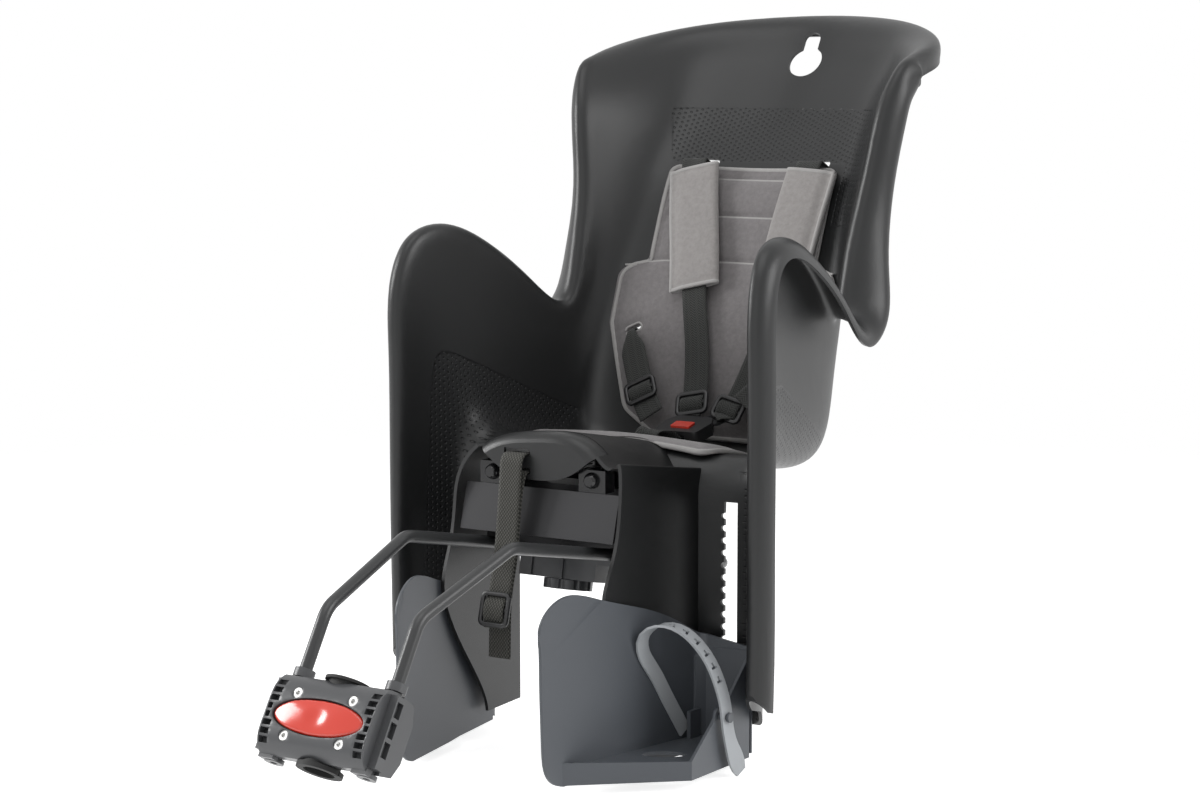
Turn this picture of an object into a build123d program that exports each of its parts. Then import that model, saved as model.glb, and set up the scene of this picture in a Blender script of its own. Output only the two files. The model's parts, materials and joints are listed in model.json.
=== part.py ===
from build123d import *
import math
import os

os.makedirs("parts", exist_ok=True)

# Frame: origin in the middle of the seat tube clamp, Y to the rear, Z up, X to the rider's left.

# Shell: one moulded bucket with leg wings, a rolled rim and an arch between the legs
WALL = 3.5
FLANGE_DROP = 5.0
FLANGE_LIP = 8.0

# Rows of the bucket from the foot of the legs, over the seat and up the back.
# Each row: middle of the floor (y, z), edge of the floor (x, y, z), rim (x, y, z), flange width.
ROWS = [
    ((408, -80), (172, 438, -80), (201, 362, -80), 17),
    ((408, -40), (173, 438, -40), (202, 361, -35), 17),
    ((408, 20), (174, 438, 20), (203, 361, 25), 17),
    ((408, 85), (175, 438, 85), (203, 360, 110), 17),
    ((408, 140), (175, 438, 135), (203, 360, 200), 17),
    ((412, 176), (174, 444, 168), (203, 359, 285), 17),
    ((444, 194), (170, 462, 182), (202, 361, 346), 17),
    ((495, 184), (164, 498, 172), (198, 380, 386), 18),
    ((545, 168), (157, 545, 162), (192, 421, 399), 20),
    ((590, 158), (150, 590, 160), (184, 478, 382), 22),
    ((618, 178), (144, 618, 178), (175, 535, 348), 30),
    ((631, 238), (137, 634, 242), (167, 585, 315), 47),
    ((654, 300), (130, 653, 308), (162, 607, 325), 50),
    ((686, 370), (120, 681, 376), (162, 621, 373), 40),
    ((719, 440), (111, 711, 440), (167, 637, 430), 30),
    ((773, 497), (109, 750, 495), (173, 646, 478), 26),
    ((811, 540), (112, 782, 540), (179, 654, 520), 25),
    ((842, 580), (118, 803, 575), (185, 666, 549), 25),
]
TOP_FLANGE = 24.0
# The top edge of the back, from the middle to the corner of the rim
TOP_EDGE = [
    (0, 868, 618),
    (62, 851, 616),
    (125, 818, 610),
    (172, 777, 598),
    (192, 745, 588),
    (198, 715, 580),
    (192, 686, 570),
]


def add(a, b, k=1.0):
    """Point a moved by k times b."""
    return tuple(p + k * q for p, q in zip(a, b))


def unit(a):
    """Direction of a with length one."""
    size = math.sqrt(sum(p * p for p in a))
    return tuple(p / size for p in a)


def cross(a, b):
    """Vector at right angles to a and b."""
    return (a[1] * b[2] - a[2] * b[1], a[2] * b[0] - a[0] * b[2], a[0] * b[1] - a[1] * b[0])


def dot(a, b):
    """Scalar product of a and b."""
    return sum(p * q for p, q in zip(a, b))


def through(points):
    """Control points of a smooth curve that passes through the given points."""
    control = list(points)
    last = len(points) - 1
    for _ in range(25):
        for i in range(1, last):
            mean = add(add(control[i - 1], control[i], 4.0), control[i + 1])
            control[i] = add(control[i], add(points[i], mean, -1.0 / 6.0))
    return control


def weights(t):
    """Weights of the four control points around a place on a smooth curve."""
    second = (3 * t**3 - 6 * t**2 + 4) / 6
    third = (-3 * t**3 + 3 * t**2 + 3 * t + 1) / 6
    return ((1 - t) ** 3 / 6, second, third, t**3 / 6)


def blend(control, count, s):
    """Point at place s, counted in control points, of the smooth curve with these control points."""
    i = min(int(s), count - 2)
    point = (0.0, 0.0, 0.0)
    for j, w in zip(range(i - 1, i + 3), weights(s - i)):
        if j < 0:
            here = add(control(0), add(control(0), control(1), -1.0))
        elif j >= count:
            here = add(control(count - 1), add(control(count - 1), control(count - 2), -1.0))
        else:
            here = control(j)
        point = add(point, here, w)
    return point


def bucket_net():
    """Control points of the bucket's inner skin, one list for each row, from middle to flange."""
    middles = through([(0, *row[0]) for row in ROWS] + [TOP_EDGE[0]])
    edges = through([row[1] for row in ROWS] + [TOP_EDGE[2]])
    rims = through([row[2] for row in ROWS] + [TOP_EDGE[-1]])
    flanges = [row[3] for row in ROWS] + [TOP_FLANGE]
    net = []
    for i, (middle, edge, rim, flange) in enumerate(zip(middles, edges, rims, flanges)):
        before = rims[max(i - 1, 0)]
        after = rims[min(i + 1, len(rims) - 1)]
        along = unit(add(after, before, -1.0))
        span = add(rim, edge, -1.0)
        rise = unit(add(span, along, -dot(span, along)))
        out = unit(cross(rise, along))
        if out[0] < 0:
            out = tuple(-p for p in out)
        row = [middle, tuple(p / 2 for p in add(middle, edge)), edge]
        row.append(add(add(edge, span, 0.30), out, 6.0))
        row.append(add(add(edge, span, 0.68), out, 5.0))
        row.append(add(rim, rise, -7.0))
        if i == len(rims) - 1:
            row = list(TOP_EDGE[:-1])
        row.append(add(add(rim, rise, 4.0), out, 1.0))
        row.append(add(add(rim, rise, 3.0), out, 0.6 * flange))
        row.append(add(add(rim, rise, -FLANGE_DROP), out, flange))
        row.append(add(add(rim, rise, -FLANGE_DROP - FLANGE_LIP), out, flange + 2.0))
        net.append(row)
    up = unit(add(net[-1][0], net[-2][0], -1.0))
    back = unit(cross((-1, 0, 0), up))
    last = net[-1]
    share = [1.0] * 6 + [0.9, 0.6, 0.35, 0.3]
    for rise, reach in ((4.0, 10.0), (-3.0, 21.0), (-11.0, 23.0)):
        net.append([add(add(p, up, k * rise), back, k * reach) for k, p in zip(share, last)])
    return net


def skin(net, offset, fine=2):
    """Face through the rows of a control net, moved along its normal by offset."""
    full = [[(-p[0], p[1], p[2]) for p in reversed(row[1:])] + list(row) for row in net]
    rows = len(full)
    columns = len(full[0])
    places = [j / fine for j in range((columns - 1) * fine + 1)]

    def at(u, v):
        return blend(lambda i: blend(lambda j: full[i][j], columns, v), rows, u)

    step = 0.05
    wires = []
    for i in range(rows):
        points = []
        for v in places:
            u0, u1 = max(i - step, 0), min(i + step, rows - 1)
            v0, v1 = max(v - step, 0), min(v + step, columns - 1)
            normal = unit(cross(add(at(u1, v), at(u0, v), -1.0), add(at(i, v1), at(i, v0), -1.0)))
            points.append(add(at(i, v), normal, offset))
        wires.append(Wire([Edge.make_spline(points, parameters=places)]))
    return Shell.make_loft(wires).face()


def layer(net, near, far):
    """Solid between the skin of a control net moved by near and the same skin moved by far."""
    inner = skin(net, near)
    outer = skin(net, far)
    sides = [Face.make_surface_from_curves(a, b) for a, b in zip(inner.edges(), outer.edges())]
    return Solid(Shell([inner, outer, *sides]))


def part_of(net, first, last, columns):
    """The rows first to last of a control net, with the columns next to the middle."""
    return [row[:columns] for row in net[first : last + 1]]


def arch_face(y, shrink):
    """Arched section between the legs at a place y, made smaller by shrink."""
    part = (y - ARCH_Y0) / (ARCH_Y1 - ARCH_Y0)
    w = ARCH_FRONT[0] + part * (ARCH_BACK[0] - ARCH_FRONT[0]) - shrink
    z = ARCH_FRONT[1] + part * (ARCH_BACK[1] - ARCH_FRONT[1]) - shrink
    r = ARCH_ROUND - shrink
    right = [(0.62 * w, z - 0.16 * r), (0.86 * w, z - 0.41 * r), (w, z - r)]
    left = [(-x, h) for x, h in reversed(right)]
    top = Spline(*left, (0, z), *right, tangents=((0, 1), (0, -1)))
    foot = Polyline((w, z - r), (w, -120), (-w, -120), (-w, z - r))
    plane = Plane((0, y, 0), x_dir=(1, 0, 0), z_dir=(0, -1, 0))
    return plane * make_face([top, foot])


def block_x(points, half):
    """Block between -half and half across, with an outline of (y, z) points."""
    side = Plane((0, 0, 0), x_dir=(0, 1, 0), z_dir=(1, 0, 0))
    return extrude(side * make_face(Polyline(*points, close=True)), amount=half, both=True)


# Arch between the legs: half width and crown height at the front and back ends
ARCH_Y0 = 262.0
ARCH_Y1 = 470.0
ARCH_FRONT = (92.0, 230.0)
ARCH_BACK = (114.5, 193.0)
ARCH_ROUND = 76.0
NOSE_Y = 306.0
CALF_Y = 432.0
LEG_BOTTOM = -75.0

bucket_grid = bucket_net()
bucket = layer(bucket_grid, 0.0, -WALL)
leg_end = [(300, -120), (300, 0), (350, -4), (358, -24), (374, -38), (405, -46), (428, -66)]
foot_trim = block_x(leg_end + [(470, LEG_BOTTOM), (470, -120)], 260)
arch_outer = loft([arch_face(ARCH_Y0, 0.0), arch_face(ARCH_Y1, 0.0)])
arch_inner = loft([arch_face(ARCH_Y0, WALL), arch_face(ARCH_Y1, WALL)])
side_plane = Plane((0, 0, 0), x_dir=(0, 1, 0), z_dir=(1, 0, 0))
arch_front_edge = Spline(
    (NOSE_Y, 260), (NOSE_Y, 160), (296, 108), (281.5, 66), (289, 40), (366, LEG_BOTTOM)
)
arch_back_edge = Polyline(
    (366, LEG_BOTTOM), (CALF_Y, LEG_BOTTOM), (CALF_Y, 188), (462, 188), (462, 260), (NOSE_Y, 260)
)
arch_side = extrude(side_plane * make_face([arch_front_edge, arch_back_edge]), amount=140, both=True)

# The crown of the arch rolls down in front into an apron with a waved lower edge
apron_wave = Spline((-84, 207), (-66, 199), (-40, 181), (0, 173), (40, 181), (66, 199), (84, 207))
apron_frame = Polyline((84, 207), (84, 260), (-84, 260), (-84, 207))
front_plane = Plane((0, 0, 0), x_dir=(1, 0, 0), z_dir=(0, -1, 0))
apron_face = front_plane * make_face([apron_wave, apron_frame])
nose_outer = loft([arch_face(340, 0.6), arch_face(322, 0.9), arch_face(311, 5), arch_face(NOSE_Y, 13)])
nose_inner = loft([arch_face(340, 4.4), arch_face(324, 4.6), arch_face(314, 8.5), arch_face(309.5, 16.5)])
nose = (nose_outer - nose_inner) & extrude(apron_face, amount=-336)
arch = ((arch_outer - arch_inner) & arch_side) - extrude(apron_face, amount=-328)
void_side = block_x([(200, -130), (200, 260), (455, 260), (455, -130)], 140)
shell = bucket - foot_trim - (arch_inner & void_side) + arch + nose


def placed(solid, plane):
    """Solid drawn at the origin, moved onto a plane."""
    return solid.moved(plane.location)


def box(x0, x1, y0, y1, z0, z1):
    """Box between two corners."""
    return Pos((x0 + x1) / 2, (y0 + y1) / 2, (z0 + z1) / 2) * Box(x1 - x0, y1 - y0, z1 - z0)


def rod(radius, start, end):
    """Round bar between two points."""
    axis = Vector(end) - Vector(start)
    return extrude(Plane(start, z_dir=axis) * Circle(radius), amount=axis.length)


def lift(face, z0, z1):
    """Block over a flat face, between two heights."""
    return Pos(0, 0, z0) * extrude(face, amount=z1 - z0, dir=(0, 0, 1))


def both(solid):
    """A solid and its mirror image on the other side of the middle."""
    return solid + mirror(solid, about=Plane.YZ)


def band(points, across, width, thick):
    """Flat strap along a row of points, across a given direction, with one width or one for each point."""
    faces = []
    last = len(points) - 1
    widths = width if isinstance(width, list) else [width] * len(points)
    for i, p in enumerate(points):
        along = Vector(points[min(i + 1, last)]) - Vector(points[max(i - 1, 0)])
        side = Vector(across) - along * (Vector(across).dot(along) / along.dot(along))
        faces.append(Plane(p, x_dir=side, z_dir=along) * Rectangle(widths[i], thick))
    return loft(faces, ruled=True)


def bent_bar(points, bend, radius):
    """Round bar along a row of points with rounded bends."""
    pieces = []
    start = Vector(points[0])
    for before, corner, after in zip(points, points[1:], points[2:]):
        a = (Vector(before) - Vector(corner)).normalized()
        b = (Vector(after) - Vector(corner)).normalized()
        half = math.radians(a.get_angle(b)) / 2
        enter = Vector(corner) + a * (bend / math.tan(half))
        leave = Vector(corner) + b * (bend / math.tan(half))
        middle = (a + b).normalized()
        crest = Vector(corner) + middle * (bend / math.sin(half) - bend)
        pieces.append(Line(start, enter))
        pieces.append(ThreePointArc(enter, crest, leave))
        start = leave
    pieces.append(Line(start, points[-1]))
    path = Wire(pieces)
    return sweep(Plane(points[0], z_dir=path % 0) * Circle(radius), path=path)


# Seat tube clamp: leaning with the seat tube, split in two jaws at the plane of the rods
TUBE_LEAN = 31.4
TUBE_R = 14.3
LINER = 3.2
JAW_GAP = 0.4
JAW_BORE = TUBE_R + LINER + 0.3
BLOCK_Z0 = -41.0
BLOCK_Z1 = 31.0
BLOCK_HALF = 58.0
CHEEK_HALF = BLOCK_HALF + 8.0
REAR_HALF = BLOCK_HALF + 4.0
ROD_R = 6.0
ROD_CLEAR = 0.3
ROD_X = BLOCK_HALF - 7.0
lean = math.radians(TUBE_LEAN)
clamp_plane = Plane((0, 0, 0), x_dir=(1, 0, 0), z_dir=(0, math.sin(lean), math.cos(lean)))

# Release button: an oval with a thumb dish
BUTTON_A = BLOCK_HALF - 9.0
BUTTON_B = 16.5
BUTTON_Z = -6.3
BUTTON_CLEAR = 0.7
BUTTON_TRAVEL = 2.5
BUTTON_BACK = -23.6
RECESS_FLOOR = BUTTON_BACK + BUTTON_TRAVEL + 0.4

# Clamp screws
SCREWS = [(x, z) for x in (-30.3, 30.3) for z in (13.4, -25.9)]
SCREW_R = 2.5
HEAD_R = 4.7
SCREW_CLEAR = 0.3


def cylinder_y(radius, x, z, y0, y1):
    """Round bar along the Y axis of the clamp."""
    return rod(radius, (x, y0, z), (x, y1, z))


jaw_curve = Spline((-14, BLOCK_Z0 - 1), (-24, -32), (-26.5, BUTTON_Z), (-24, 19), (-15, BLOCK_Z1))
jaw_back = Polyline((-15, BLOCK_Z1), (-JAW_GAP, BLOCK_Z1 + 2), (-JAW_GAP, BLOCK_Z0), (-14, BLOCK_Z0 - 1))
jaw_face = side_plane * make_face([jaw_curve, jaw_back])
front_jaw = extrude(jaw_face, amount=BLOCK_HALF, both=True)
cheeks = both(box(BLOCK_HALF - 1, CHEEK_HALF, -13, -JAW_GAP, BLOCK_Z0 + 3, BLOCK_Z1 - 3))
for z in (-27, -9, 9):
    cheeks = cheeks - both(box(BLOCK_HALF + 3, CHEEK_HALF + 1, -11, -JAW_GAP - 2, z, z + 14))
eyelets = both(rod(9, (ROD_X, 0, BLOCK_Z0 - 4.5), (ROD_X, 0, BLOCK_Z0 - 0.5)))
eyelet_webs = both(box(ROD_X - 8, ROD_X + 8, -14, -6, BLOCK_Z0 - 4, BLOCK_Z0 + 2))
front_jaw = front_jaw + cheeks + eyelets + eyelet_webs
front_jaw = front_jaw - both(rod(3.5, (ROD_X, 0, BLOCK_Z0 - 9), (ROD_X, 0, BLOCK_Z0)))
front_jaw = front_jaw - both(rod(ROD_R + ROD_CLEAR, (ROD_X, 0, BLOCK_Z0 + 1), (ROD_X, 0, 60)))
front_jaw = front_jaw - rod(JAW_BORE, (0, 0, -80), (0, 0, 80))
recess = Plane((0, RECESS_FLOOR, BUTTON_Z), x_dir=(1, 0, 0), z_dir=(0, -1, 0)) * Ellipse(
    BUTTON_A + BUTTON_CLEAR, BUTTON_B + BUTTON_CLEAR
)
front_jaw = front_jaw - extrude(recess, amount=30)
POCKETS = 8
POCKET_PITCH = 7.6
for i in range(POCKETS):
    z = -34.5 + i * POCKET_PITCH
    inner = BUTTON_A + 2.6 if abs(z + 2.6 - BUTTON_Z) < 8 else BUTTON_A - 2.0
    front_jaw = front_jaw - both(box(inner, BLOCK_HALF - 1.6, -40, -18, z, z + 5.4))
for x, z in SCREWS:
    front_jaw = front_jaw - cylinder_y(SCREW_R + SCREW_CLEAR, x, z, -40, 1)
    front_jaw = front_jaw - cylinder_y(HEAD_R + SCREW_CLEAR, x, z, -40, -20)
SPRING_X = BUTTON_A - 9.0
for x in (-SPRING_X, SPRING_X):
    front_jaw = front_jaw - cylinder_y(4.2, x, BUTTON_Z, -30, -11)

rear_points = [(JAW_GAP, BLOCK_Z0), (18, BLOCK_Z0 + 4), (25, -22), (25, 12), (18, BLOCK_Z1 - 2)]
rear_jaw = block_x(rear_points + [(JAW_GAP, BLOCK_Z1)], REAR_HALF)
rear_jaw = rear_jaw - both(box(39, REAR_HALF - 4, 10, 40, BLOCK_Z0 + 8, BLOCK_Z1 - 8))
rear_jaw = rear_jaw - both(rod(ROD_R + ROD_CLEAR, (ROD_X, 0, BLOCK_Z0 + 1), (ROD_X, 0, 60)))
rear_jaw = rear_jaw - rod(JAW_BORE, (0, 0, -80), (0, 0, 80))
NUT_Y = 20.0
for x, z in SCREWS:
    rear_jaw = rear_jaw - cylinder_y(SCREW_R + SCREW_CLEAR, x, z, -1, 40)
    rear_jaw = rear_jaw - cylinder_y(HEAD_R + 0.8, x, z, NUT_Y - 0.2, 40)

liner_ring = rod(JAW_BORE - 0.3, (0, 0, BLOCK_Z0 - 6), (0, 0, BLOCK_Z1 + 5))
liner_ring = liner_ring + rod(JAW_BORE + 3.5, (0, 0, BLOCK_Z0 - 6), (0, 0, BLOCK_Z0 - 1.8))
liner_ring = liner_ring + rod(JAW_BORE + 3.5, (0, 0, BLOCK_Z1 + 2.4), (0, 0, BLOCK_Z1 + 5))
liner_ring = liner_ring - rod(TUBE_R, (0, 0, -80), (0, 0, 80))
liner_front = liner_ring & box(-40, 40, -40, -0.6, -80, 80)
liner_rear = liner_ring & box(-40, 40, 0.6, 40, -80, 80)

screws = []
nuts = []
for x, z in SCREWS:
    screw = cylinder_y(SCREW_R, x, z, -21, NUT_Y + 4.5) + cylinder_y(HEAD_R, x, z, -25, -20.3)
    socket = Plane((x, -25, z), x_dir=(1, 0, 0), z_dir=(0, -1, 0)) * RegularPolygon(2.3, 6)
    screws.append(screw - extrude(socket, amount=-2.5))
    nut = extrude(Plane((x, NUT_Y + 0.1, z), z_dir=(0, 1, 0)) * RegularPolygon(HEAD_R, 6), amount=4)
    nuts.append(nut - cylinder_y(SCREW_R + 0.1, x, z, 0, 40))

button_plane = Plane((0, BUTTON_BACK, BUTTON_Z), x_dir=(1, 0, 0), z_dir=(0, -1, 0))
button = extrude(button_plane * Ellipse(BUTTON_A, BUTTON_B), amount=8)
crown_ball = Pos(0, -29.5 + 260, BUTTON_Z) * Sphere(260)
crown_roll = rod(32, (-80, -29.5 + 32, BUTTON_Z), (80, -29.5 + 32, BUTTON_Z))
button = button & crown_ball & crown_roll
button = button - Pos(0, -29.2 - 26, BUTTON_Z) * Sphere(28)
springs = []
for x in (-SPRING_X, SPRING_X):
    spring = cylinder_y(3.4, x, BUTTON_Z, BUTTON_BACK + 0.3, -15) - cylinder_y(2.6, x, BUTTON_Z, -40, 0)
    springs.append(spring)

collars = []
for x in (-ROD_X, ROD_X):
    collar = rod(9.6, (x, 0, BLOCK_Z1 + 2.4), (x, 0, BLOCK_Z1 + 10.5))
    collars.append(collar - rod(ROD_R + ROD_CLEAR, (x, 0, 0), (x, 0, 60)))

# Carrier: one bent steel bar, both ends in the clamp, closed behind under the seat
ROD_SEAT_X = 60.0
ROD_REAR_Y = 572.0
ROD_TOP = (ROD_SEAT_X, 180.8, 131.8)
ROD_FALL = 0.1868
end_low = clamp_plane.from_local_coords((ROD_X, 0, BLOCK_Z0 + 2))
end_bend = clamp_plane.from_local_coords((ROD_X, 0, 101.0))
rear_z = ROD_TOP[2] - ROD_FALL * (ROD_REAR_Y - ROD_TOP[1])
right_side = [tuple(end_low), tuple(end_bend), ROD_TOP, (ROD_SEAT_X, ROD_REAR_Y, rear_z)]
left_side = [(-x, y, z) for x, y, z in reversed(right_side)]
carrier = bent_bar(right_side + left_side, 30.0, ROD_R)

# Holder under the seat: two jaws around the rods, drawn together by a hand knob
HOLD_Y = 345.0
hold_z = ROD_TOP[2] - ROD_FALL * (HOLD_Y - ROD_TOP[1])
hold_plane = Plane((0, HOLD_Y, hold_z), x_dir=(1, 0, 0), z_dir=(0, ROD_FALL, 1))
HOLD_HALF = 86.0
HOLD_LONG = 156.0
HOLD_TOP = 163.0
rods_local = both(rod(ROD_R + ROD_CLEAR, (ROD_SEAT_X, -60, 0), (ROD_SEAT_X, 300, 0)))
upper_jaw = placed(box(-HOLD_HALF, HOLD_HALF, 0, HOLD_LONG, 1.0, 110) - rods_local, hold_plane)
upper_jaw = upper_jaw & box(-200, 200, 0, 600, 0, HOLD_TOP)
face_plate = Plane((0, 310, 142), x_dir=(1, 0, 0), z_dir=(0, -0.966, 0.259)) * Rectangle(176, 46)
face_plate = extrude(face_plate, amount=-4)
plate_arms = both(box(70, 80, 316, HOLD_Y + 14, 130, 158))
hollow = box(-32, 32, HOLD_Y + 46, HOLD_Y + 145, 118, 200)
side_hollows = both(box(53, 80, HOLD_Y + 20, HOLD_Y + 145, 124, 200))
upper_jaw = upper_jaw - hollow - side_hollows
BOSSES = [(x, y, top) for x in (-42.0, 42.0) for y, top in ((372.0, 202.5), (484.0, 185.3))]
BOSS_R = 9.0
HOLD_SCREW_R = 3.0
KNOB_Y = 22.0
KNOB_STUD_R = 4.0
for x, y, _ in BOSSES:
    upper_jaw = upper_jaw - rod(HOLD_SCREW_R + SCREW_CLEAR, (x, y, 60), (x, y, 200))
    upper_jaw = upper_jaw - rod(6.5, (x, y, 40), (x, y, 140))
upper_jaw = upper_jaw + face_plate + plate_arms
stud_hole = placed(rod(KNOB_STUD_R + SCREW_CLEAR, (0, KNOB_Y, -60), (0, KNOB_Y, 40)), hold_plane)
upper_jaw = upper_jaw - stud_hole
lower_jaw = box(-74, 74, 0, HOLD_LONG - 20, -11, -1.0) + box(-44, 44, 0, 64, -28, -10)
lower_jaw = lower_jaw - rods_local - box(-30, -6, -1, 2, -28, -2) - box(6, 30, -1, 2, -28, -2)
lower_jaw = placed(lower_jaw, hold_plane) - stud_hole
knob = rod(24, (0, KNOB_Y, -38), (0, KNOB_Y, -28.6))
for i in range(10):
    turn = math.radians(36 * i)
    x = 25.5 * math.cos(turn)
    y = KNOB_Y + 25.5 * math.sin(turn)
    knob = knob - rod(3.6, (x, y, -40), (x, y, -20))
knob = placed(knob - rod(KNOB_STUD_R + 0.1, (0, KNOB_Y, -32), (0, KNOB_Y, -20)), hold_plane)
stud = placed(rod(KNOB_STUD_R, (0, KNOB_Y, -31.8), (0, KNOB_Y, 34)), hold_plane)
hold_screws = []
for x, y, _ in BOSSES:
    hold_screws.append(rod(HOLD_SCREW_R, (x, y, 135), (x, y, 178)) + rod(5.6, (x, y, 133), (x, y, 139.7)))

# Holes and bosses of the shell
shell = shell + [rod(BOSS_R, (x, y, HOLD_TOP + 0.3), (x, y, top)) for x, y, top in BOSSES]
cuts = [rod(HOLD_SCREW_R + 0.15, (x, y, 100), (x, y, 181)) for x, y, _ in BOSSES]

# Slots behind the calves, with notches that the footrests lock into
SLOT_X = 143.0
SLOT_HALF = 7.0
SLOT_Z0 = -46.0
SLOT_Z1 = 148.0
SLOT_PITCH = 12.0
foot_slot = box(SLOT_X - SLOT_HALF, SLOT_X + SLOT_HALF, 405, 460, SLOT_Z0, SLOT_Z1)
for i in range(15):
    z = SLOT_Z0 + 12 + i * SLOT_PITCH
    foot_slot = foot_slot + rod(3.2, (SLOT_X - SLOT_HALF, 405, z), (SLOT_X - SLOT_HALF, 460, z))
cuts += [foot_slot, mirror(foot_slot, about=Plane.YZ)]

# Keyhole at the top of the back
KEY_LEAN = 36.0
KEY_R = 19.3
KEY_NECK = 19.0
key = math.radians(KEY_LEAN)
key_plane = Plane((0, 834, 559), x_dir=(1, 0, 0), z_dir=(0, -math.cos(key), math.sin(key)))
keyhole = extrude(key_plane * Circle(KEY_R), amount=40, both=True)
key_neck = Pos(0, 14) * SlotCenterToCenter(28, KEY_NECK, rotation=90)
keyhole = keyhole + extrude(key_plane * key_neck, amount=40, both=True)
cuts.append(keyhole)

# Harness: places on the plane of the back pad are (across, up, out)
BACK_LEAN = 24.7
WEB = 28.0
WEB_THICK = 1.6
back = math.radians(BACK_LEAN)
pad_plane = Plane((0, 666, 356), x_dir=(1, 0, 0), z_dir=(0, -math.cos(back), math.sin(back)))
STRAP_SLOT = (36.0, 9.0)
SHOULDER_X = 68.0
SHOULDER_UP = (62.0, 119.0)
WAIST = (101.0, -76.0)
WAIST_TURN = 28.0
CROTCH_Y = 500.0
slots = [Pos(x, up) * SlotOverall(*STRAP_SLOT) for x in (-SHOULDER_X, SHOULDER_X) for up in SHOULDER_UP]
waist_slots = [
    Pos(-WAIST[0], WAIST[1]) * SlotOverall(*STRAP_SLOT, rotation=WAIST_TURN),
    Pos(WAIST[0], WAIST[1]) * SlotOverall(*STRAP_SLOT, rotation=-WAIST_TURN),
]
cuts += [extrude(pad_plane * slot, amount=60, both=True) for slot in slots + waist_slots]
crotch_slot = Pos(0, CROTCH_Y, 175) * extrude(SlotOverall(*STRAP_SLOT), amount=40, both=True)
cuts.append(crotch_slot)

# Slots of the safety strap in the apron
STRAP_X = -22.0
APRON_SLOTS = (199.0, 181.0)
cuts += [box(STRAP_X - 15, STRAP_X + 15, 290, 330, z - 3, z + 3) for z in APRON_SLOTS]
shell = shell - cuts


def on_pad(x, up, out):
    """Point of the frame at a place on the back pad."""
    return tuple(pad_plane.from_local_coords((x, up, out)))


def rounded(points, radius):
    """Face with straight sides and rounded corners."""
    face = make_face(Polyline(*points, close=True))
    return fillet(face.vertices(), radius)


# Pads: felt on the back and the seat, following the shell
PAD_CLEAR = 0.8
PAD_THICK = 7.0
half_pad = [(102, 113), (102, 2), (131, -8), (132, -70), (104, -160), (62, -186)]
pad_outline = half_pad + [(-x, up) for x, up in reversed(half_pad)]
pad_near = -WALL - PAD_CLEAR
pad_far = pad_near - PAD_THICK
back_pad = layer(part_of(bucket_grid, 8, 17, 5), pad_near, pad_far)
back_pad = back_pad & extrude(pad_plane * rounded(pad_outline, 9), amount=120, both=True)
back_pad = back_pad - [extrude(pad_plane * slot, amount=60, both=True) for slot in waist_slots]
seat_pad = layer(part_of(bucket_grid, 5, 11, 5), pad_near, pad_far)
seat_face = rounded([(-126, 480), (-112, 434), (112, 434), (126, 480), (118, 575), (-118, 575)], 18)
over_arch = loft([arch_face(ARCH_Y0, -1.2), arch_face(ARCH_Y1 + 9, -1.2)])
seat_pad = (seat_pad & lift(seat_face, 120, 260)) - over_arch
seat_pad = seat_pad - lift(Pos(4, CROTCH_Y) * SlotOverall(48, 14), 120, 260)

# Buckle on the seat pad, drawn flat on this plane
BUCKLE = Plane((20, 548, 190.5), x_dir=(1, 0, 0.02), z_dir=(0, -0.25, 0.97))
TONGUE_X = 12.3
TONGUE_Y = 17.0
TONGUE_TURN = 16.0


def on_buckle(x, y, z):
    """Point of the frame at a place on the buckle."""
    return tuple(BUCKLE.from_local_coords((x, y, z)))


# Shoulder pads with a sleeve for the strap
SLEEVE = WEB_THICK + 0.8
PAD_OUT = 7.9
LOAD_OUT = PAD_OUT + 4.4
SHOULDER_THICK = 9.0
straps = {
    "left": [
        (71, 115.6, -24), (71, 115.6, 7), (73, 109, LOAD_OUT),
        (77, -34, LOAD_OUT), (66, -90, 9.5), (49, -162, 15),
    ],
    "right": [
        (-69, 115.6, -24), (-69, 115.6, 7), (-66, 109, LOAD_OUT),
        (-28, -38, LOAD_OUT), (-9, -104, 9.5), (4, -160, 15),
    ],
}
strap_ends = {"left": on_buckle(16.3, 30.9, 11.8), "right": on_buckle(-16.3, 30.9, 9.6)}
waist_paths = {
    "left": [(99.4, -79, -24), (99.4, -79, 3), (96, -87, 8), (88, -132, 24), (70, -160, 30)],
    "right": [(-99.4, -79, -24), (-99.4, -79, 3), (-96, -86, 8), (-61, -150, 15), (-40, -176, 20)],
}
WAIST_ACROSS = {"left": (-0.88, 0.47, 0), "right": (0.88, 0.47, 0)}
pads = {"left": ((75.2, 34.0), 1.5, 140.0), "right": ((-47.0, 36.0), 14.2, 140.0)}
x_axis = Vector(1, 0, 0)
harness = {}
shoulder_pads = {}


def on_strap(start, end, across, share):
    """Plane on the front of a strap, part of the way from one of its bends to the next."""
    along = (Vector(end) - Vector(start)).normalized()
    side = (Vector(across) - along * Vector(across).dot(along)).normalized()
    front = along.cross(side)
    if front.dot(pad_plane.z_dir) < 0:
        front = front * -1
    middle = Vector(start) + (Vector(end) - Vector(start)) * share
    return Plane(middle + front * (WEB_THICK / 2 + 0.4), x_dir=side, z_dir=front)


def ladder_lock(width, height, thick):
    """Strap adjuster: a frame with two windows and a bar between them."""
    frame = extrude(fillet(Rectangle(width, height).vertices(), 4), amount=thick)
    window = Rectangle(width - 8, height / 2 - 6)
    frame = frame - extrude(Pos(0, height / 4 - 0.5) * window, amount=thick)
    return frame - extrude(Pos(0, -height / 4 + 0.5) * window, amount=thick)


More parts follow.
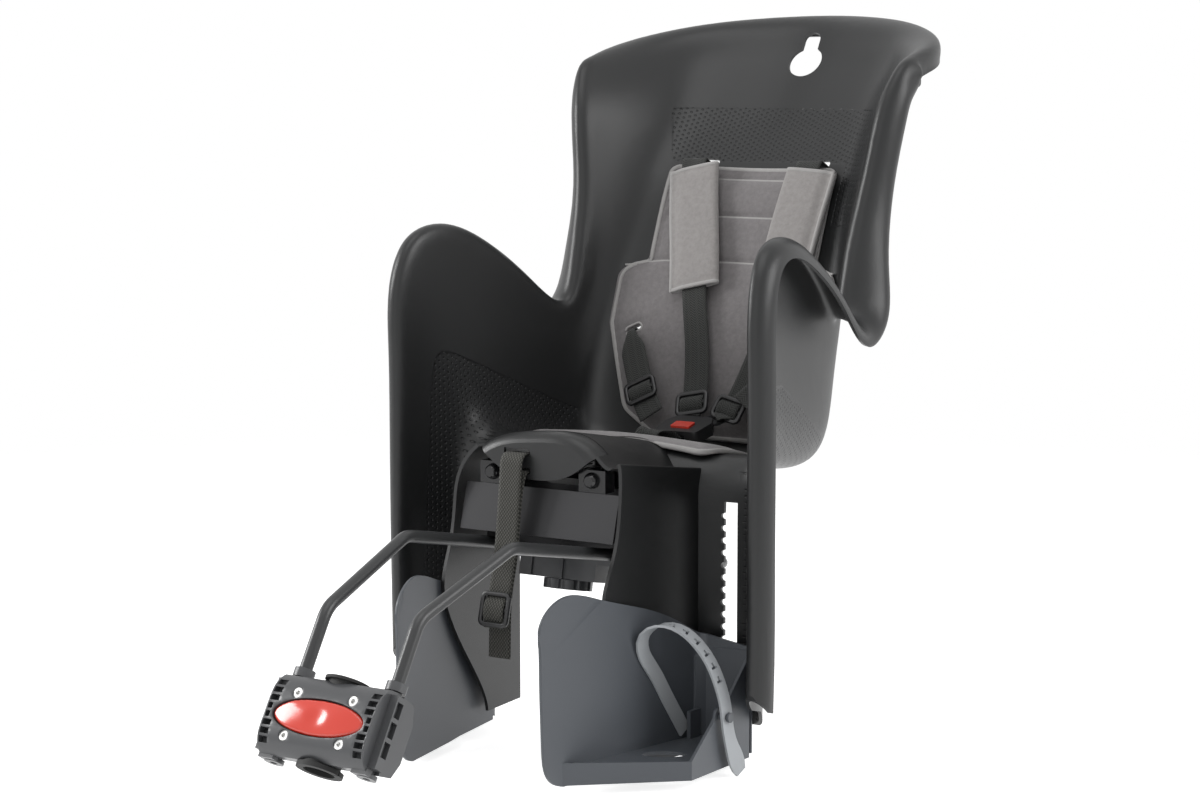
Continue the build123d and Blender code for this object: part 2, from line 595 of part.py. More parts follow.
SHOULDER_SHARE = {"left": 0.78, "right": 0.70}
WAIST_SHARE = {"left": 0.50, "right": 0.78}
lock = ladder_lock(WEB + 9, 27, 4.5)
for side in ("left", "right"):
    (x, up), turn, long = pads[side]
    blank = fillet(Rectangle(58, long).vertices(), 5)
    pad = extrude(pad_plane * Pos(x, up, PAD_OUT) * Rot(0, 0, turn) * blank, amount=SHOULDER_THICK)
    sleeve = pad_plane * Pos(x, up, LOAD_OUT) * Rot(0, 0, turn) * Box(WEB + 5, 200, SLEEVE)
    shoulder_pads[side] = pad - sleeve
    path = [on_pad(*p) for p in straps[side]] + [strap_ends[side]]
    harness["shoulder_strap_" + side] = band(path, x_axis, WEB, WEB_THICK)
    harness["shoulder_adjuster_" + side] = on_strap(path[4], path[5], x_axis, SHOULDER_SHARE[side]) * lock
    across = pad_plane.from_local_coords(WAIST_ACROSS[side]) - pad_plane.origin
    path = [on_pad(*p) for p in waist_paths[side]]
    harness["waist_strap_" + side] = band(path, across, WEB, WEB_THICK)
    harness["waist_adjuster_" + side] = on_strap(path[2], path[3], across, WAIST_SHARE[side]) * lock

# Buckle with a red release button
buckle_outline = [(-24, -22), (24, -22), (27, 6), (20, 21), (-20, 21), (-27, 6)]
buckle_body = extrude(rounded(buckle_outline, 5), amount=13)
BUCKLE_BUTTON = (22.0, 14.0)
PRESS = 3.0
well = Pos(0, -6, 4) * extrude(RectangleRounded(BUCKLE_BUTTON[0] + 1, BUCKLE_BUTTON[1] + 1, 2.5), amount=20)
buckle_body = buckle_body - well
buckle_button = Pos(0, -6, 4.4 + PRESS) * extrude(RectangleRounded(*BUCKLE_BUTTON, 2), amount=7.5)
mouths = Pos(0, 15, 6.5) * Box(53, 18, 4)
strap_mouth = Pos(-6, -18, 6.5) * Box(WEB + 4, 12, WEB_THICK + 2.8)
buckle_body = buckle_body - mouths - strap_mouth
tongue = extrude(rounded([(-7, -7), (7, -7), (13, 8), (13, 20), (-13, 20), (-13, 8)], 2), amount=2.4)
tongue = tongue - Pos(0, 14.5) * extrude(Rectangle(20, 4), amount=5)
buckle_body = placed(buckle_body, BUCKLE)
buckle_button = placed(buckle_button, BUCKLE)
tongue_left = placed(Pos(TONGUE_X, TONGUE_Y, 5.3) * Rot(0, 0, -TONGUE_TURN) * tongue, BUCKLE)
tongue_right = placed(Pos(-TONGUE_X, TONGUE_Y, 5.3) * Rot(0, 0, TONGUE_TURN) * tongue, BUCKLE)
crotch_path = [(2, CROTCH_Y, 170), (2, CROTCH_Y, 196), (5, CROTCH_Y + 4, 199), (11, CROTCH_Y + 16, 197)]
crotch_path += [on_buckle(-7, -23, 6.5), on_buckle(-6, -14, 6.5)]
crotch_strap = band(crotch_path, x_axis, WEB, WEB_THICK)

# Safety strap in front, with its buckle and loose end
BELT = 25.0
belt_front = [(320, 197.1), (302, 197.1), (297, 191), (292, 150), (285, 100), (268, 34)]
belt_back = [(320, 179.1), (304.6, 179.1), (300.5, 170), (295.5, 150), (288.5, 100), (279, 62), (276, 4)]
safety_strap = box(STRAP_X - BELT / 2, STRAP_X + BELT / 2, 319, 319 + WEB_THICK, 178.3, 197.9)
for line in (belt_front, belt_back):
    safety_strap = safety_strap + band([(STRAP_X, y, z) for y, z in line], x_axis, BELT, WEB_THICK)
belt_low = [(STRAP_X, y, z) for y, z in belt_front[-2:]]
safety_buckle = on_strap(*belt_low, x_axis, 0.74) * ladder_lock(BELT + 9, 34, 5)

# Catches on the holder, seen through the waves of the apron
catch = box(42, 72, 316, 332, 164.6, 186) + Pos(57, 316, 176) * Sphere(8.0)
catch = catch & box(42, 72, 309.5, 332, 164.6, 190)

# Footrests: a flared inner wall that bends into the back wall, a floor with a toe lip and a low outer wall
FOOT_WALL = 3.0
FOOT_FLOOR = -90.0
FOOT_DECK = -77.0
FOOT_IN_FRONT = (81.2, 192.0)
FOOT_IN_BACK = (119.5, 408.0)
FOOT_BEND = 14.0
FOOT_OUT_X = 177.0
FOOT_OUT_FRONT = 302.0
FOOT_BACK_Y = 413.0
FOOT_TRAVEL = 100.0
LOCK_HALF = SLOT_HALF - 0.35
wall_line = FilletPolyline(FOOT_IN_FRONT, FOOT_IN_BACK, (FOOT_OUT_X - 1, FOOT_BACK_Y), radius=FOOT_BEND)
wall_block = lift(trace(wall_line, FOOT_WALL), FOOT_FLOOR - 4, 100)
wall_top = Spline((193, 40), (197, 66), (222, 82), (270, 74), (350, 50), (404, 23))
wall_foot = Polyline((404, 23), (404, FOOT_FLOOR + 2), (300, FOOT_FLOOR - 3), (222, FOOT_FLOOR - 4))
wall_toe = Spline((222, FOOT_FLOOR - 4), (202, FOOT_FLOOR + 8), (196, FOOT_FLOOR + 40), (194, 0), (193, 40))
wall_keep = extrude(side_plane * make_face([wall_top, wall_foot, wall_toe]), amount=300)
back_edge = [(100, 24), (FOOT_IN_BACK[0], 23), (FOOT_OUT_X, 12.5)]
back_edge += [(FOOT_OUT_X + 5, FOOT_FLOOR), (100, FOOT_FLOOR)]
back_keep = extrude(front_plane * make_face(Polyline(*back_edge, close=True)), amount=-440)
wall_keep = wall_keep + (back_keep & box(90, 200, 403.5, 430, -200, 200))
foot_wall = wall_block & wall_keep
floor_points = [
    (FOOT_IN_FRONT[0] + 5, FOOT_IN_FRONT[1] + 27),
    (FOOT_IN_BACK[0] - 1, FOOT_IN_BACK[1] - 8),
    (FOOT_IN_BACK[0] + 8, FOOT_IN_BACK[1] + 1),
    (FOOT_OUT_X - 4, FOOT_BACK_Y),
    (FOOT_OUT_X, FOOT_BACK_Y - 6),
    (FOOT_OUT_X, FOOT_OUT_FRONT),
]
floor_face = make_face(Polyline(*floor_points, close=True))
floor_block = lift(floor_face, FOOT_FLOOR - 3, 60)
core_face = offset(floor_face, -FOOT_WALL, kind=Kind.INTERSECTION)
floor_core = lift(core_face, FOOT_DECK, 80)
under_core = lift(core_face, FOOT_FLOOR - 10, FOOT_DECK - FOOT_WALL)
beside_wall = Line(FOOT_IN_FRONT, FOOT_IN_BACK)
strip_points = [beside_wall @ 0.16, beside_wall @ 0.96]
strip_points = [(p.X + FOOT_WALL / 2 + 0.05, p.Y) for p in strip_points]
strip_points = strip_points + [(x + FOOT_WALL + 2, y) for x, y in reversed(strip_points)]
floor_core = floor_core + lift(make_face(Polyline(*strip_points, close=True)), FOOT_DECK, 80)
tray = floor_block - floor_core - under_core
rim_line = [
    (180, -100), (180, FOOT_DECK + 7), (FOOT_OUT_FRONT, FOOT_DECK + 2), (340, -46), (347, -39),
    (362, -34), (404, 4), (408, 10), (440, 10), (440, -100),
]
tray = tray & block_x(rim_line, 300)
toe_hole = Pos(136.5, 318.5, FOOT_DECK) * extrude(Rot(0, 0, 33) * Ellipse(21, 11), amount=5, both=True)
POST = (352.5, -42.0)
post = rod(3.2, (FOOT_OUT_X - 1, *POST), (FOOT_OUT_X + 10, *POST))
post = post + rod(4.8, (FOOT_OUT_X + 9.6, *POST), (FOOT_OUT_X + 12, *POST))
post_ear = rod(9, (FOOT_OUT_X - FOOT_WALL, *POST), (FOOT_OUT_X, *POST))
strap_tab = box(122.4, 126.4, 382, 400, FOOT_DECK - 1, -50)
lock_neck = box(SLOT_X - LOCK_HALF, SLOT_X + LOCK_HALF, FOOT_BACK_Y - 3, 447, -34, -8)
lock_head = box(SLOT_X - 13, SLOT_X + 13, 444.5, 449, -38, -4)
footrest = foot_wall + tray - toe_hole + post + post_ear + strap_tab + lock_neck + lock_head

# Foot strap: a soft band from the tab over the foot to the post, with T holes and a grip at its end
strap_path = Spline(
    (118.5, 384, -70), (116.4, 372, -52), (114.6, 361, -36), (110.7, 338, -2), (109, 324, 18),
    (113, 321, 34), (126, 328, 43), (142, 337, 40), (158, 344, 26), (170, 348, 8), (178, 350.5, -12),
    (182.6, 352, -30), (184, *POST), (184.6, 356, -60), (185.2, 366, -82), (185.8, 376, -99),
)
FOOT_STRAP = 15.0
STRAP_STEPS = 44
strap_spots = [tuple(strap_path @ (i / STRAP_STEPS)) for i in range(STRAP_STEPS + 1)]
strap_widths = [FOOT_STRAP] * (STRAP_STEPS - 5) + [15.5, 17, 19, 19.5, 18, 13]
strap_across = Vector(0.15, 1, 0).normalized()
foot_strap = band(strap_spots, strap_across, strap_widths, 2.4)
holes = [rod(3.6, (FOOT_OUT_X + 3, *POST), (FOOT_OUT_X + 9.6, *POST))]
T_FIRST = 0.44
T_PITCH = 0.043
for i in range(7):
    place = T_FIRST + i * T_PITCH
    along = strap_path % place
    across = strap_across - along * strap_across.dot(along)
    spot = Plane(strap_path @ place, x_dir=across, z_dir=across.cross(along))
    tee = Rectangle(7.5, 2.4) + Pos(0, -2.6) * Rectangle(2.6, 5)
    holes.append(extrude(spot * tee, amount=4, both=True))
foot_strap = foot_strap - holes


def save(name, *solids):
    """Write one node."""
    shapes = [s for solid in solids for s in solid.solids()]
    export_step(shapes[0] if len(shapes) == 1 else Compound(shapes), "parts/" + name + ".step")


save("seat_shell", shell)
save("block_front", placed(front_jaw, clamp_plane))
save("block_rear", placed(rear_jaw, clamp_plane))
save("tube_liner_front", placed(liner_front, clamp_plane))
save("tube_liner_rear", placed(liner_rear, clamp_plane))
save("block_screws", *[placed(s, clamp_plane) for s in screws])
save("block_nuts", *[placed(s, clamp_plane) for s in nuts])
save("release_button", placed(button, clamp_plane))
save("button_springs", *[placed(s, clamp_plane) for s in springs])
save("rod_collars", *[placed(s, clamp_plane) for s in collars])
save("carrier_rods", carrier)
save("carrier_holder", upper_jaw)
save("carrier_jaw", lower_jaw)
save("clamp_knob", knob)
save("clamp_stud", stud)
save("holder_screws", *hold_screws)
save("holder_catches", catch, mirror(catch, about=Plane.YZ))
save("back_pad", back_pad)
save("seat_pad", seat_pad)
save("shoulder_pad_left", shoulder_pads["left"])
save("shoulder_pad_right", shoulder_pads["right"])
for name, solid in harness.items():
    save(name, solid)
save("buckle_body", buckle_body)
save("buckle_button", buckle_button)
save("buckle_tongue_left", tongue_left)
save("buckle_tongue_right", tongue_right)
save("crotch_strap", crotch_strap)
save("safety_strap", safety_strap)
save("safety_buckle", safety_buckle)
save("footrest_left", footrest)
save("footrest_right", mirror(footrest, about=Plane.YZ))
save("foot_strap_left", foot_strap)
save("foot_strap_right", mirror(foot_strap, about=Plane.YZ))
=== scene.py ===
import json
import math

import bpy
import numpy as np
from mathutils import Matrix, Vector
from mathutils.bvhtree import BVHTree
from mathutils.geometry import delaunay_2d_cdt
from mathutils.kdtree import KDTree


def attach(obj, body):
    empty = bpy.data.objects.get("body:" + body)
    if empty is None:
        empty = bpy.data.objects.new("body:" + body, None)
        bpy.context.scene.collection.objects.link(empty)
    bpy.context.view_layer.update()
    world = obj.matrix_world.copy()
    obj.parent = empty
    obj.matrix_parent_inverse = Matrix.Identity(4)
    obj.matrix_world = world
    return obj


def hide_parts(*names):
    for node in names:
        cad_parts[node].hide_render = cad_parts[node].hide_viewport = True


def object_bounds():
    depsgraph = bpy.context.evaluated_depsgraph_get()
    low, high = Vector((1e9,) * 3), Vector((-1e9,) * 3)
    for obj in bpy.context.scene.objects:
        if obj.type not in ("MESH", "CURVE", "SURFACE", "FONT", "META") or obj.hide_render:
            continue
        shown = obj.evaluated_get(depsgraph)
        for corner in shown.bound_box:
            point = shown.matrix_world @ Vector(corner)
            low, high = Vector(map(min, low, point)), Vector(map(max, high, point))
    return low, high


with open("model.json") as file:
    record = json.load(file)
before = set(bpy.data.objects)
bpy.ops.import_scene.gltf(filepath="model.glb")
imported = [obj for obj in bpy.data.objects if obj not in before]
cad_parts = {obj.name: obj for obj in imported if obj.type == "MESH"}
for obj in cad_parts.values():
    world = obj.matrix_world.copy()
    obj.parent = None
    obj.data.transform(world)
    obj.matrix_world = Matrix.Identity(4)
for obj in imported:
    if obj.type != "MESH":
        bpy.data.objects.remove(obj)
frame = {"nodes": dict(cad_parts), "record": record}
CAD_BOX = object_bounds()
NODES = frame["nodes"]
MM = 0.001


# Small helpers


def vec(p):
    """Millimetres to a vector in metres."""
    return Vector(p) * MM


def mix(a, b, t):
    """Value between a and b."""
    return a + (b - a) * t


def smooth(t):
    """Soft step from 0 to 1."""
    t = min(max(t, 0.0), 1.0)
    return t * t * (3 - 2 * t)


def curve_through(points, step):
    """Points about step apart on a smooth curve through the given ones."""
    points = [Vector(p) for p in points]
    ends = [points[0] * 2 - points[1], *points, points[-1] * 2 - points[-2]]
    out = []
    for i in range(len(points) - 1):
        a, b, c, d = ends[i : i + 4]
        n = max(2, int((c - b).length / step))
        ka, kb, kc = ((q - p).length ** 0.5 + 1e-9 for p, q in ((a, b), (b, c), (c, d)))
        t0, t1, t2, t3 = 0.0, ka, ka + kb, ka + kb + kc
        for j in range(n):
            t = t1 + (t2 - t1) * j / n
            p01 = a * ((t1 - t) / (t1 - t0)) + b * ((t - t0) / (t1 - t0))
            p12 = b * ((t2 - t) / (t2 - t1)) + c * ((t - t1) / (t2 - t1))
            p23 = c * ((t3 - t) / (t3 - t2)) + d * ((t - t2) / (t3 - t2))
            p02 = p01 * ((t2 - t) / (t2 - t0)) + p12 * ((t - t0) / (t2 - t0))
            p13 = p12 * ((t3 - t) / (t3 - t1)) + p23 * ((t - t1) / (t3 - t1))
            out.append(p02 * ((t2 - t) / (t2 - t1)) + p13 * ((t - t1) / (t2 - t1)))
    out.append(points[-1])
    return out


def add_mesh(name, verts, faces, material, body, uvs=None):
    """New smooth-shaded piece, in metres in the row frame, that rides on a body."""
    mesh = bpy.data.meshes.new(name)
    mesh.from_pydata([tuple(v) for v in verts], [], faces)
    mesh.update()
    mesh.polygons.foreach_set("use_smooth", [True] * len(mesh.polygons))
    if uvs is not None:
        layer = mesh.uv_layers.new(name="weave")
        for loop in mesh.loops:
            layer.data[loop.index].uv = uvs[loop.vertex_index]
    mesh.materials.append(material)
    obj = bpy.data.objects.new(name, mesh)
    bpy.context.collection.objects.link(obj)
    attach(obj, body)
    return obj


# Materials


class Shader:
    """A material with a Principled shader and a few links."""

    def __init__(self, name, color, rough, metal=0.0, coat=0.0, sheen=0.0, specular=0.5):
        self.material = bpy.data.materials.new(name)
        self.material.use_nodes = True
        self.tree = self.material.node_tree
        self.bsdf = self.tree.nodes["Principled BSDF"]
        self.bsdf.inputs["Base Color"].default_value = (*color, 1)
        self.bsdf.inputs["Roughness"].default_value = rough
        self.bsdf.inputs["Metallic"].default_value = metal
        self.bsdf.inputs["Coat Weight"].default_value = coat
        self.bsdf.inputs["Coat Roughness"].default_value = 0.12
        self.bsdf.inputs["Sheen Weight"].default_value = sheen
        self.bsdf.inputs["Sheen Roughness"].default_value = 0.6
        self.bsdf.inputs["Specular IOR Level"].default_value = specular
        self.normal = None

    def node(self, kind, **values):
        """New node with its properties set, and its inputs from a dict by name or number."""
        inputs = values.pop("inputs", {})
        made = self.tree.nodes.new(kind)
        for key, value in values.items():
            setattr(made, key, value)
        for key, value in inputs.items():
            if isinstance(value, bpy.types.NodeSocket):
                self.tree.links.new(value, made.inputs[key])
            else:
                made.inputs[key].default_value = value
        return made

    def math(self, operation, *values):
        """Output of a math node."""
        inputs = dict(enumerate(values))
        return self.node("ShaderNodeMath", operation=operation, inputs=inputs).outputs[0]

    def all_of(self, *masks):
        """Product of masks, which is 1 only where all of them are."""
        total = masks[0]
        for mask in masks[1:]:
            total = self.math("MULTIPLY", total, mask)
        return total

    def place(self):
        """Position on the piece in its own frame, in metres."""
        return self.node("ShaderNodeTexCoord").outputs["Object"]

    def dot(self, vector, direction):
        """Distance along a direction."""
        inputs = {0: vector, 1: direction}
        return self.node("ShaderNodeVectorMath", operation="DOT_PRODUCT", inputs=inputs).outputs["Value"]

    def bump(self, height, strength, distance):
        """Bumps from a height, on top of those already there."""
        inputs = {"Height": height, "Strength": strength, "Distance": distance}
        if self.normal:
            inputs["Normal"] = self.normal
        self.normal = self.node("ShaderNodeBump", inputs=inputs).outputs["Normal"]
        self.tree.links.new(self.normal, self.bsdf.inputs["Normal"])

    def noise(self, scale, detail=2.0, rough=0.5):
        """Noise with a scale per metre."""
        inputs = {"Vector": self.place(), "Scale": scale, "Detail": detail, "Roughness": rough}
        return self.node("ShaderNodeTexNoise", inputs=inputs).outputs["Fac"]

    def tint(self, factor, low, high):
        """Base colour between two shades by a factor."""
        ramp = self.node("ShaderNodeMix", data_type="RGBA", inputs={"Factor": factor})
        ramp.inputs[6].default_value = (*low, 1)
        ramp.inputs[7].default_value = (*high, 1)
        self.tree.links.new(ramp.outputs[2], self.bsdf.inputs["Base Color"])

    def soft_step(self, value, low, high):
        """0 below low, 1 above high and a soft change between them."""
        inputs = {0: value, 1: low, 2: high}
        return self.node("ShaderNodeMapRange", interpolation_type="SMOOTHSTEP", inputs=inputs).outputs[0]

    def band(self, value, low, high, soft):
        """1 where a value lies between two limits, with soft edges."""
        up = self.soft_step(value, low - soft, low + soft)
        down = self.soft_step(value, high - soft, high + soft)
        return self.math("MULTIPLY", up, self.math("SUBTRACT", 1.0, down))

    def dimples(self, vector, a, b, pitch):
        """Staggered round dimples on the plane of two directions, 0 outside and 1 in their middle."""
        k = 2 * math.pi / (pitch * math.sqrt(3) / 2)
        waves = []
        for turn in (0, 60, 120):
            c, s = math.cos(math.radians(turn)), math.sin(math.radians(turn))
            way = [k * (c * p + s * q) for p, q in zip(a, b)]
            waves.append(self.math("COSINE", self.dot(vector, way)))
        total = self.math("ADD", self.math("ADD", waves[0], waves[1]), waves[2])
        return self.soft_step(total, *DIMPLE_RISE)


def plastic(name, color, rough, grain, size=900.0, **more):
    """Moulded plastic with a fine grain."""
    s = Shader(name, color, rough, **more)
    s.bump(s.noise(size, 3.0), grain, 0.0006)
    return s


SHELL_COLOR = (0.013, 0.0135, 0.014)

# Dimpled panels of the shell, in metres of the row frame: slanting edges as a limit and a slope,
# straight ones as a low limit, a high limit and the softness of the edge
PANEL_EDGE = 0.0012
PANEL_SINK = 0.35
BEYOND = 0.5
WING_FRONT, WING_FRONT_SLOPE = 0.384, 0.06
WING_TOP, WING_TOP_SLOPE, WING_TOP_COS = 0.453, 0.42, 0.922
WING_CORNER = 0.045
WING_SIDE = (0.15, 0.24, 0.004)
FLANK_TOP, FLANK_SLOPE = 0.495, 0.514
FLANK_Y = (0.44, 0.583, PANEL_EDGE)
FLANK_Z = (0.165, 0.26, 0.002)
FLANK_FACING = 0.3
LEDGE_SIDE, LEDGE_SLOPE = -0.033, 0.3
LEDGE_Z = (0.462, 0.517, PANEL_EDGE)
BESIDE_TOP, BESIDE_SLOPE = 0.4985, 0.726
BESIDE_X = (0.108, 0.145, PANEL_EDGE)
BESIDE_Z = (0.400, 0.517, PANEL_EDGE)
BACK_Y = (0.615, 0.83, 0.003)
SIDE_PITCH, BACK_PITCH = 0.0062, 0.0060
BACK_SLOPE = (0, 0.6, 0.8)
DIMPLE_RISE = (1.2, 2.5)  # sum of the three waves at a dimple's rim and in its bowl
# Share of the shell's colour left in the dimples: painted shade in their bowls
PIT_PAINTED_SHADE = 0.55


def shell_material():
    """Charcoal plastic with dimpled panels on the wings, the back's ledge and the outside of the bucket."""
    s = plastic("shell_plastic", SHELL_COLOR, 0.37, 0.16, 1500.0, specular=0.42)
    p = s.place()
    x, y, z = (s.dot(p, axis) for axis in ((1, 0, 0), (0, 1, 0), (0, 0, 1)))
    side = s.math("ABSOLUTE", x)
    normal = s.node("ShaderNodeTexCoord").outputs["Normal"]
    facing = s.math("MULTIPLY", s.dot(normal, (1, 0, 0)), s.math("SIGN", x))
    # Inner side of the leg wings: behind the rim and below a slanting line, with a round corner
    behind = s.math("ADD", y, s.math("MULTIPLY_ADD", z, -WING_FRONT_SLOPE, -WING_FRONT))
    below = s.math("SUBTRACT", WING_TOP, s.math("MULTIPLY_ADD", y, WING_TOP_SLOPE, z))
    below = s.math("MULTIPLY", below, WING_TOP_COS)
    corner = s.math("SMOOTH_MIN", behind, below, WING_CORNER)
    wing = s.all_of(
        s.band(corner, 0.0, BEYOND, PANEL_EDGE),
        s.band(side, *WING_SIDE),
        s.math("LESS_THAN", facing, 0.0),
    )
    # Outside of the bucket: below a slanting line
    slant = s.math("MULTIPLY_ADD", y, FLANK_SLOPE, z)
    flank = s.all_of(
        s.band(slant, 0.0, FLANK_TOP, PANEL_EDGE),
        s.band(y, *FLANK_Y),
        s.band(z, *FLANK_Z),
        s.math("GREATER_THAN", facing, FLANK_FACING),
    )
    # Ledge over the back pad, and the strip beside the pad on the left
    taper = s.math("MULTIPLY_ADD", z, -LEDGE_SLOPE, side)
    ledge = s.all_of(s.band(z, *LEDGE_Z), s.band(taper, -BEYOND, LEDGE_SIDE, PANEL_EDGE))
    slant = s.math("MULTIPLY_ADD", z, BESIDE_SLOPE, x)
    beside = s.all_of(
        s.band(z, *BESIDE_Z),
        s.band(x, *BESIDE_X),
        s.band(slant, 0.0, BESIDE_TOP, PANEL_EDGE),
    )
    back = s.all_of(
        s.math("MAXIMUM", ledge, beside),
        s.band(y, *BACK_Y),
        s.math("LESS_THAN", s.dot(normal, (0, 1, 0)), 0.0),
    )
    # Panels lie a little deep, and their dimples deeper, with painted shade darkening the dimples
    sides = s.math("MAXIMUM", wing, flank)
    side_pits = s.math("MULTIPLY", sides, s.dimples(p, (0, 1, 0), (0, 0, 1), SIDE_PITCH))
    back_pits = s.math("MULTIPLY", back, s.dimples(p, (1, 0, 0), BACK_SLOPE, BACK_PITCH))
    pits = s.math("MAXIMUM", side_pits, back_pits)
    sunk = s.math("MULTIPLY", s.math("MAXIMUM", sides, back), -PANEL_SINK)
    s.bump(s.math("SUBTRACT", sunk, pits), 0.9, 0.0012)
    s.tint(pits, SHELL_COLOR, tuple(PIT_PAINTED_SHADE * c for c in SHELL_COLOR))
    return s.material


def felt(name, color, deep):
    """Soft felt with a mottled pile."""
    s = Shader(name, color, 0.95, sheen=0.35, specular=0.15)
    cloud = s.noise(190.0, 4.0, 0.7)
    s.tint(cloud, deep, color)
    s.bump(s.noise(2600.0, 2.0), 0.35, 0.0006)
    s.bump(s.noise(260.0, 3.0), 0.25, 0.001)
    return s.material


def webbing(name, color, light, rib, tooth):
    """Herringbone strap: threads slant up and down between ribs, by the strap's own flat coordinates."""
    s = Shader(name, color, 0.80, sheen=0.1, specular=0.2)
    uv = s.node("ShaderNodeUVMap", uv_map="weave").outputs[0]
    u = s.dot(uv, (1, 0, 0))
    v = s.dot(uv, (0, 1, 0))
    slant = s.math("ADD", v, s.math("PINGPONG", u, rib))
    thread = s.math("SINE", s.math("MULTIPLY", slant, 2 * math.pi / tooth))
    edge = s.math("SINE", s.math("MULTIPLY", u, math.pi / rib))
    weave = s.math("MULTIPLY_ADD", thread, 0.38, 0.5)
    weave = s.math("ADD", weave, s.math("MULTIPLY", s.math("ABSOLUTE", edge), 0.12))
    s.tint(weave, color, light)
    s.bump(weave, 0.8, 0.0005)
    return s.material


def belt_weave(name, color, light, wide, long):
    """Plain basket weave: threads over and under in a checker of small knobs."""
    s = Shader(name, color, 0.75, sheen=0.1, specular=0.25)
    uv = s.node("ShaderNodeUVMap", uv_map="weave").outputs[0]
    u = s.math("SINE", s.math("MULTIPLY", s.dot(uv, (1, 0, 0)), math.pi / wide))
    v = s.math("SINE", s.math("MULTIPLY", s.dot(uv, (0, 1, 0)), math.pi / long))
    knob = s.math("MULTIPLY", u, v)
    weave = s.math("MULTIPLY_ADD", knob, 0.5, 0.5)
    s.tint(s.math("POWER", weave, 1.6), color, light)
    s.bump(weave, 0.9, 0.0007)
    return s.material


WEB_RIB_TOOTH = (0.0047, 0.0028)  # metres across and along the strap
BELT_KNOB = (0.0016, 0.0020)
MATS = {
    "shell": shell_material(),
    "block": plastic("block_plastic", (0.075, 0.077, 0.081), 0.34, 0.12, 1600.0).material,
    "liner": plastic("liner_rubber", (0.012, 0.012, 0.012), 0.7, 0.1).material,
    "steel": Shader("zinc_steel", (0.56, 0.56, 0.55), 0.34, metal=1.0).material,
    "button": Shader("red_plastic", (0.72, 0.045, 0.022), 0.22, coat=0.5).material,
    "rods": plastic("rod_paint", (0.028, 0.029, 0.030), 0.34, 0.10, 2200.0).material,
    "holder": plastic("holder_paint", (0.036, 0.036, 0.038), 0.34, 0.06, 1800.0, metal=0.5).material,
    "catch": Shader("gloss_black", (0.010, 0.010, 0.011), 0.18).material,
    "felt": felt("grey_felt", (0.262, 0.247, 0.249), (0.138, 0.129, 0.131)),
    "shoulder_felt": felt("light_felt", (0.385, 0.366, 0.357), (0.225, 0.212, 0.207)),
    "binding": felt("grey_binding", (0.43, 0.42, 0.41), (0.36, 0.35, 0.345)),
    "webbing": webbing("black_webbing", (0.007, 0.0075, 0.007), (0.062, 0.064, 0.061), *WEB_RIB_TOOTH),
    "belt": belt_weave("olive_webbing", (0.014, 0.0142, 0.012), (0.115, 0.113, 0.100), *BELT_KNOB),
    "buckle": plastic("buckle_plastic", (0.016, 0.016, 0.017), 0.38, 0.08).material,
    "foot": plastic("foot_plastic", (0.080, 0.088, 0.100), 0.42, 0.15, 1500.0).material,
    "foot_strap": plastic("strap_rubber", (0.42, 0.44, 0.46), 0.45, 0.08).material,
}

WELD_DISTANCE = 1e-6
BEVEL_ANGLE = 38
SLOT_OF = {row["node"]: row["material_slot"] for row in frame["record"]["subparts"]}


def dress(node, bevel=0.0):
    """Show a solid of the CAD model with its material and softened edges."""
    obj = NODES[node]
    obj.data.materials.clear()
    obj.data.materials.append(MATS[SLOT_OF[node]])
    if bevel:
        weld = obj.modifiers.new("weld", "WELD")
        weld.merge_threshold = WELD_DISTANCE
        round_off = obj.modifiers.new("bevel", "BEVEL")
        round_off.width = bevel * MM
        round_off.segments = 2
        round_off.limit_method = "ANGLE"
        round_off.angle_limit = math.radians(BEVEL_ANGLE)
        round_off.harden_normals = True


# Rounds on the edges of the solids, in millimetres
EDGES = {
    "block_front": 0.8,
    "block_rear": 0.8,
    "carrier_holder": 0.8,
    "footrest_left": 1.2,
    "footrest_right": 1.2,
    "buckle_body": 0.8,
    "buckle_button": 0.5,
}
for name in NODES:
    dress(name, EDGES.get(name, 0.0))


# Flat outlines and pads


def resample(points, step, closed=True):
    """Points of a flat line set evenly, about step apart."""
    points = np.asarray(points, dtype=float)
    if closed:
        points = np.vstack([points, points[:1]])
    length = np.concatenate([[0], np.cumsum(np.hypot(*np.diff(points, axis=0).T))])
    count = max(3, int(round(length[-1] / step)))
    at = np.linspace(0, length[-1], count + 1)
    even = np.column_stack([np.interp(at, length, points[:, 0]), np.interp(at, length, points[:, 1])])
    return even[:-1] if closed else even


def rounded_loop(corners, step):
    """Closed outline with rounded corners, each given as (x, y, radius)."""
    points = []
    for i, (x, y, radius) in enumerate(corners):
        here = Vector((x, y))
        a = (Vector(corners[i - 1][:2]) - here).normalized()
        b = (Vector(corners[(i + 1) % len(corners)][:2]) - here).normalized()
        half = a.angle(b) / 2
        centre = here + (a + b).normalized() * (radius / math.sin(half))
        first = here + a * (radius / math.tan(half)) - centre
        last = here + b * (radius / math.tan(half)) - centre
        turn = math.atan2(first.cross(last), first.dot(last))
        for j in range(13):
            points.append(centre + Matrix.Rotation(turn * j / 12, 2) @ first)
    return resample([tuple(p) for p in points], step)


def slot_loop(x, y, long, wide, turn, step):
    """Closed outline of a slot with round ends."""
    c, s = math.cos(math.radians(turn)), math.sin(math.radians(turn))
    corners = [(-long / 2, -wide / 2), (long / 2, -wide / 2), (long / 2, wide / 2), (-long / 2, wide / 2)]
    return rounded_loop([(x + c * a - s * b, y + s * a + c * b, wide * 0.49) for a, b in corners], step)


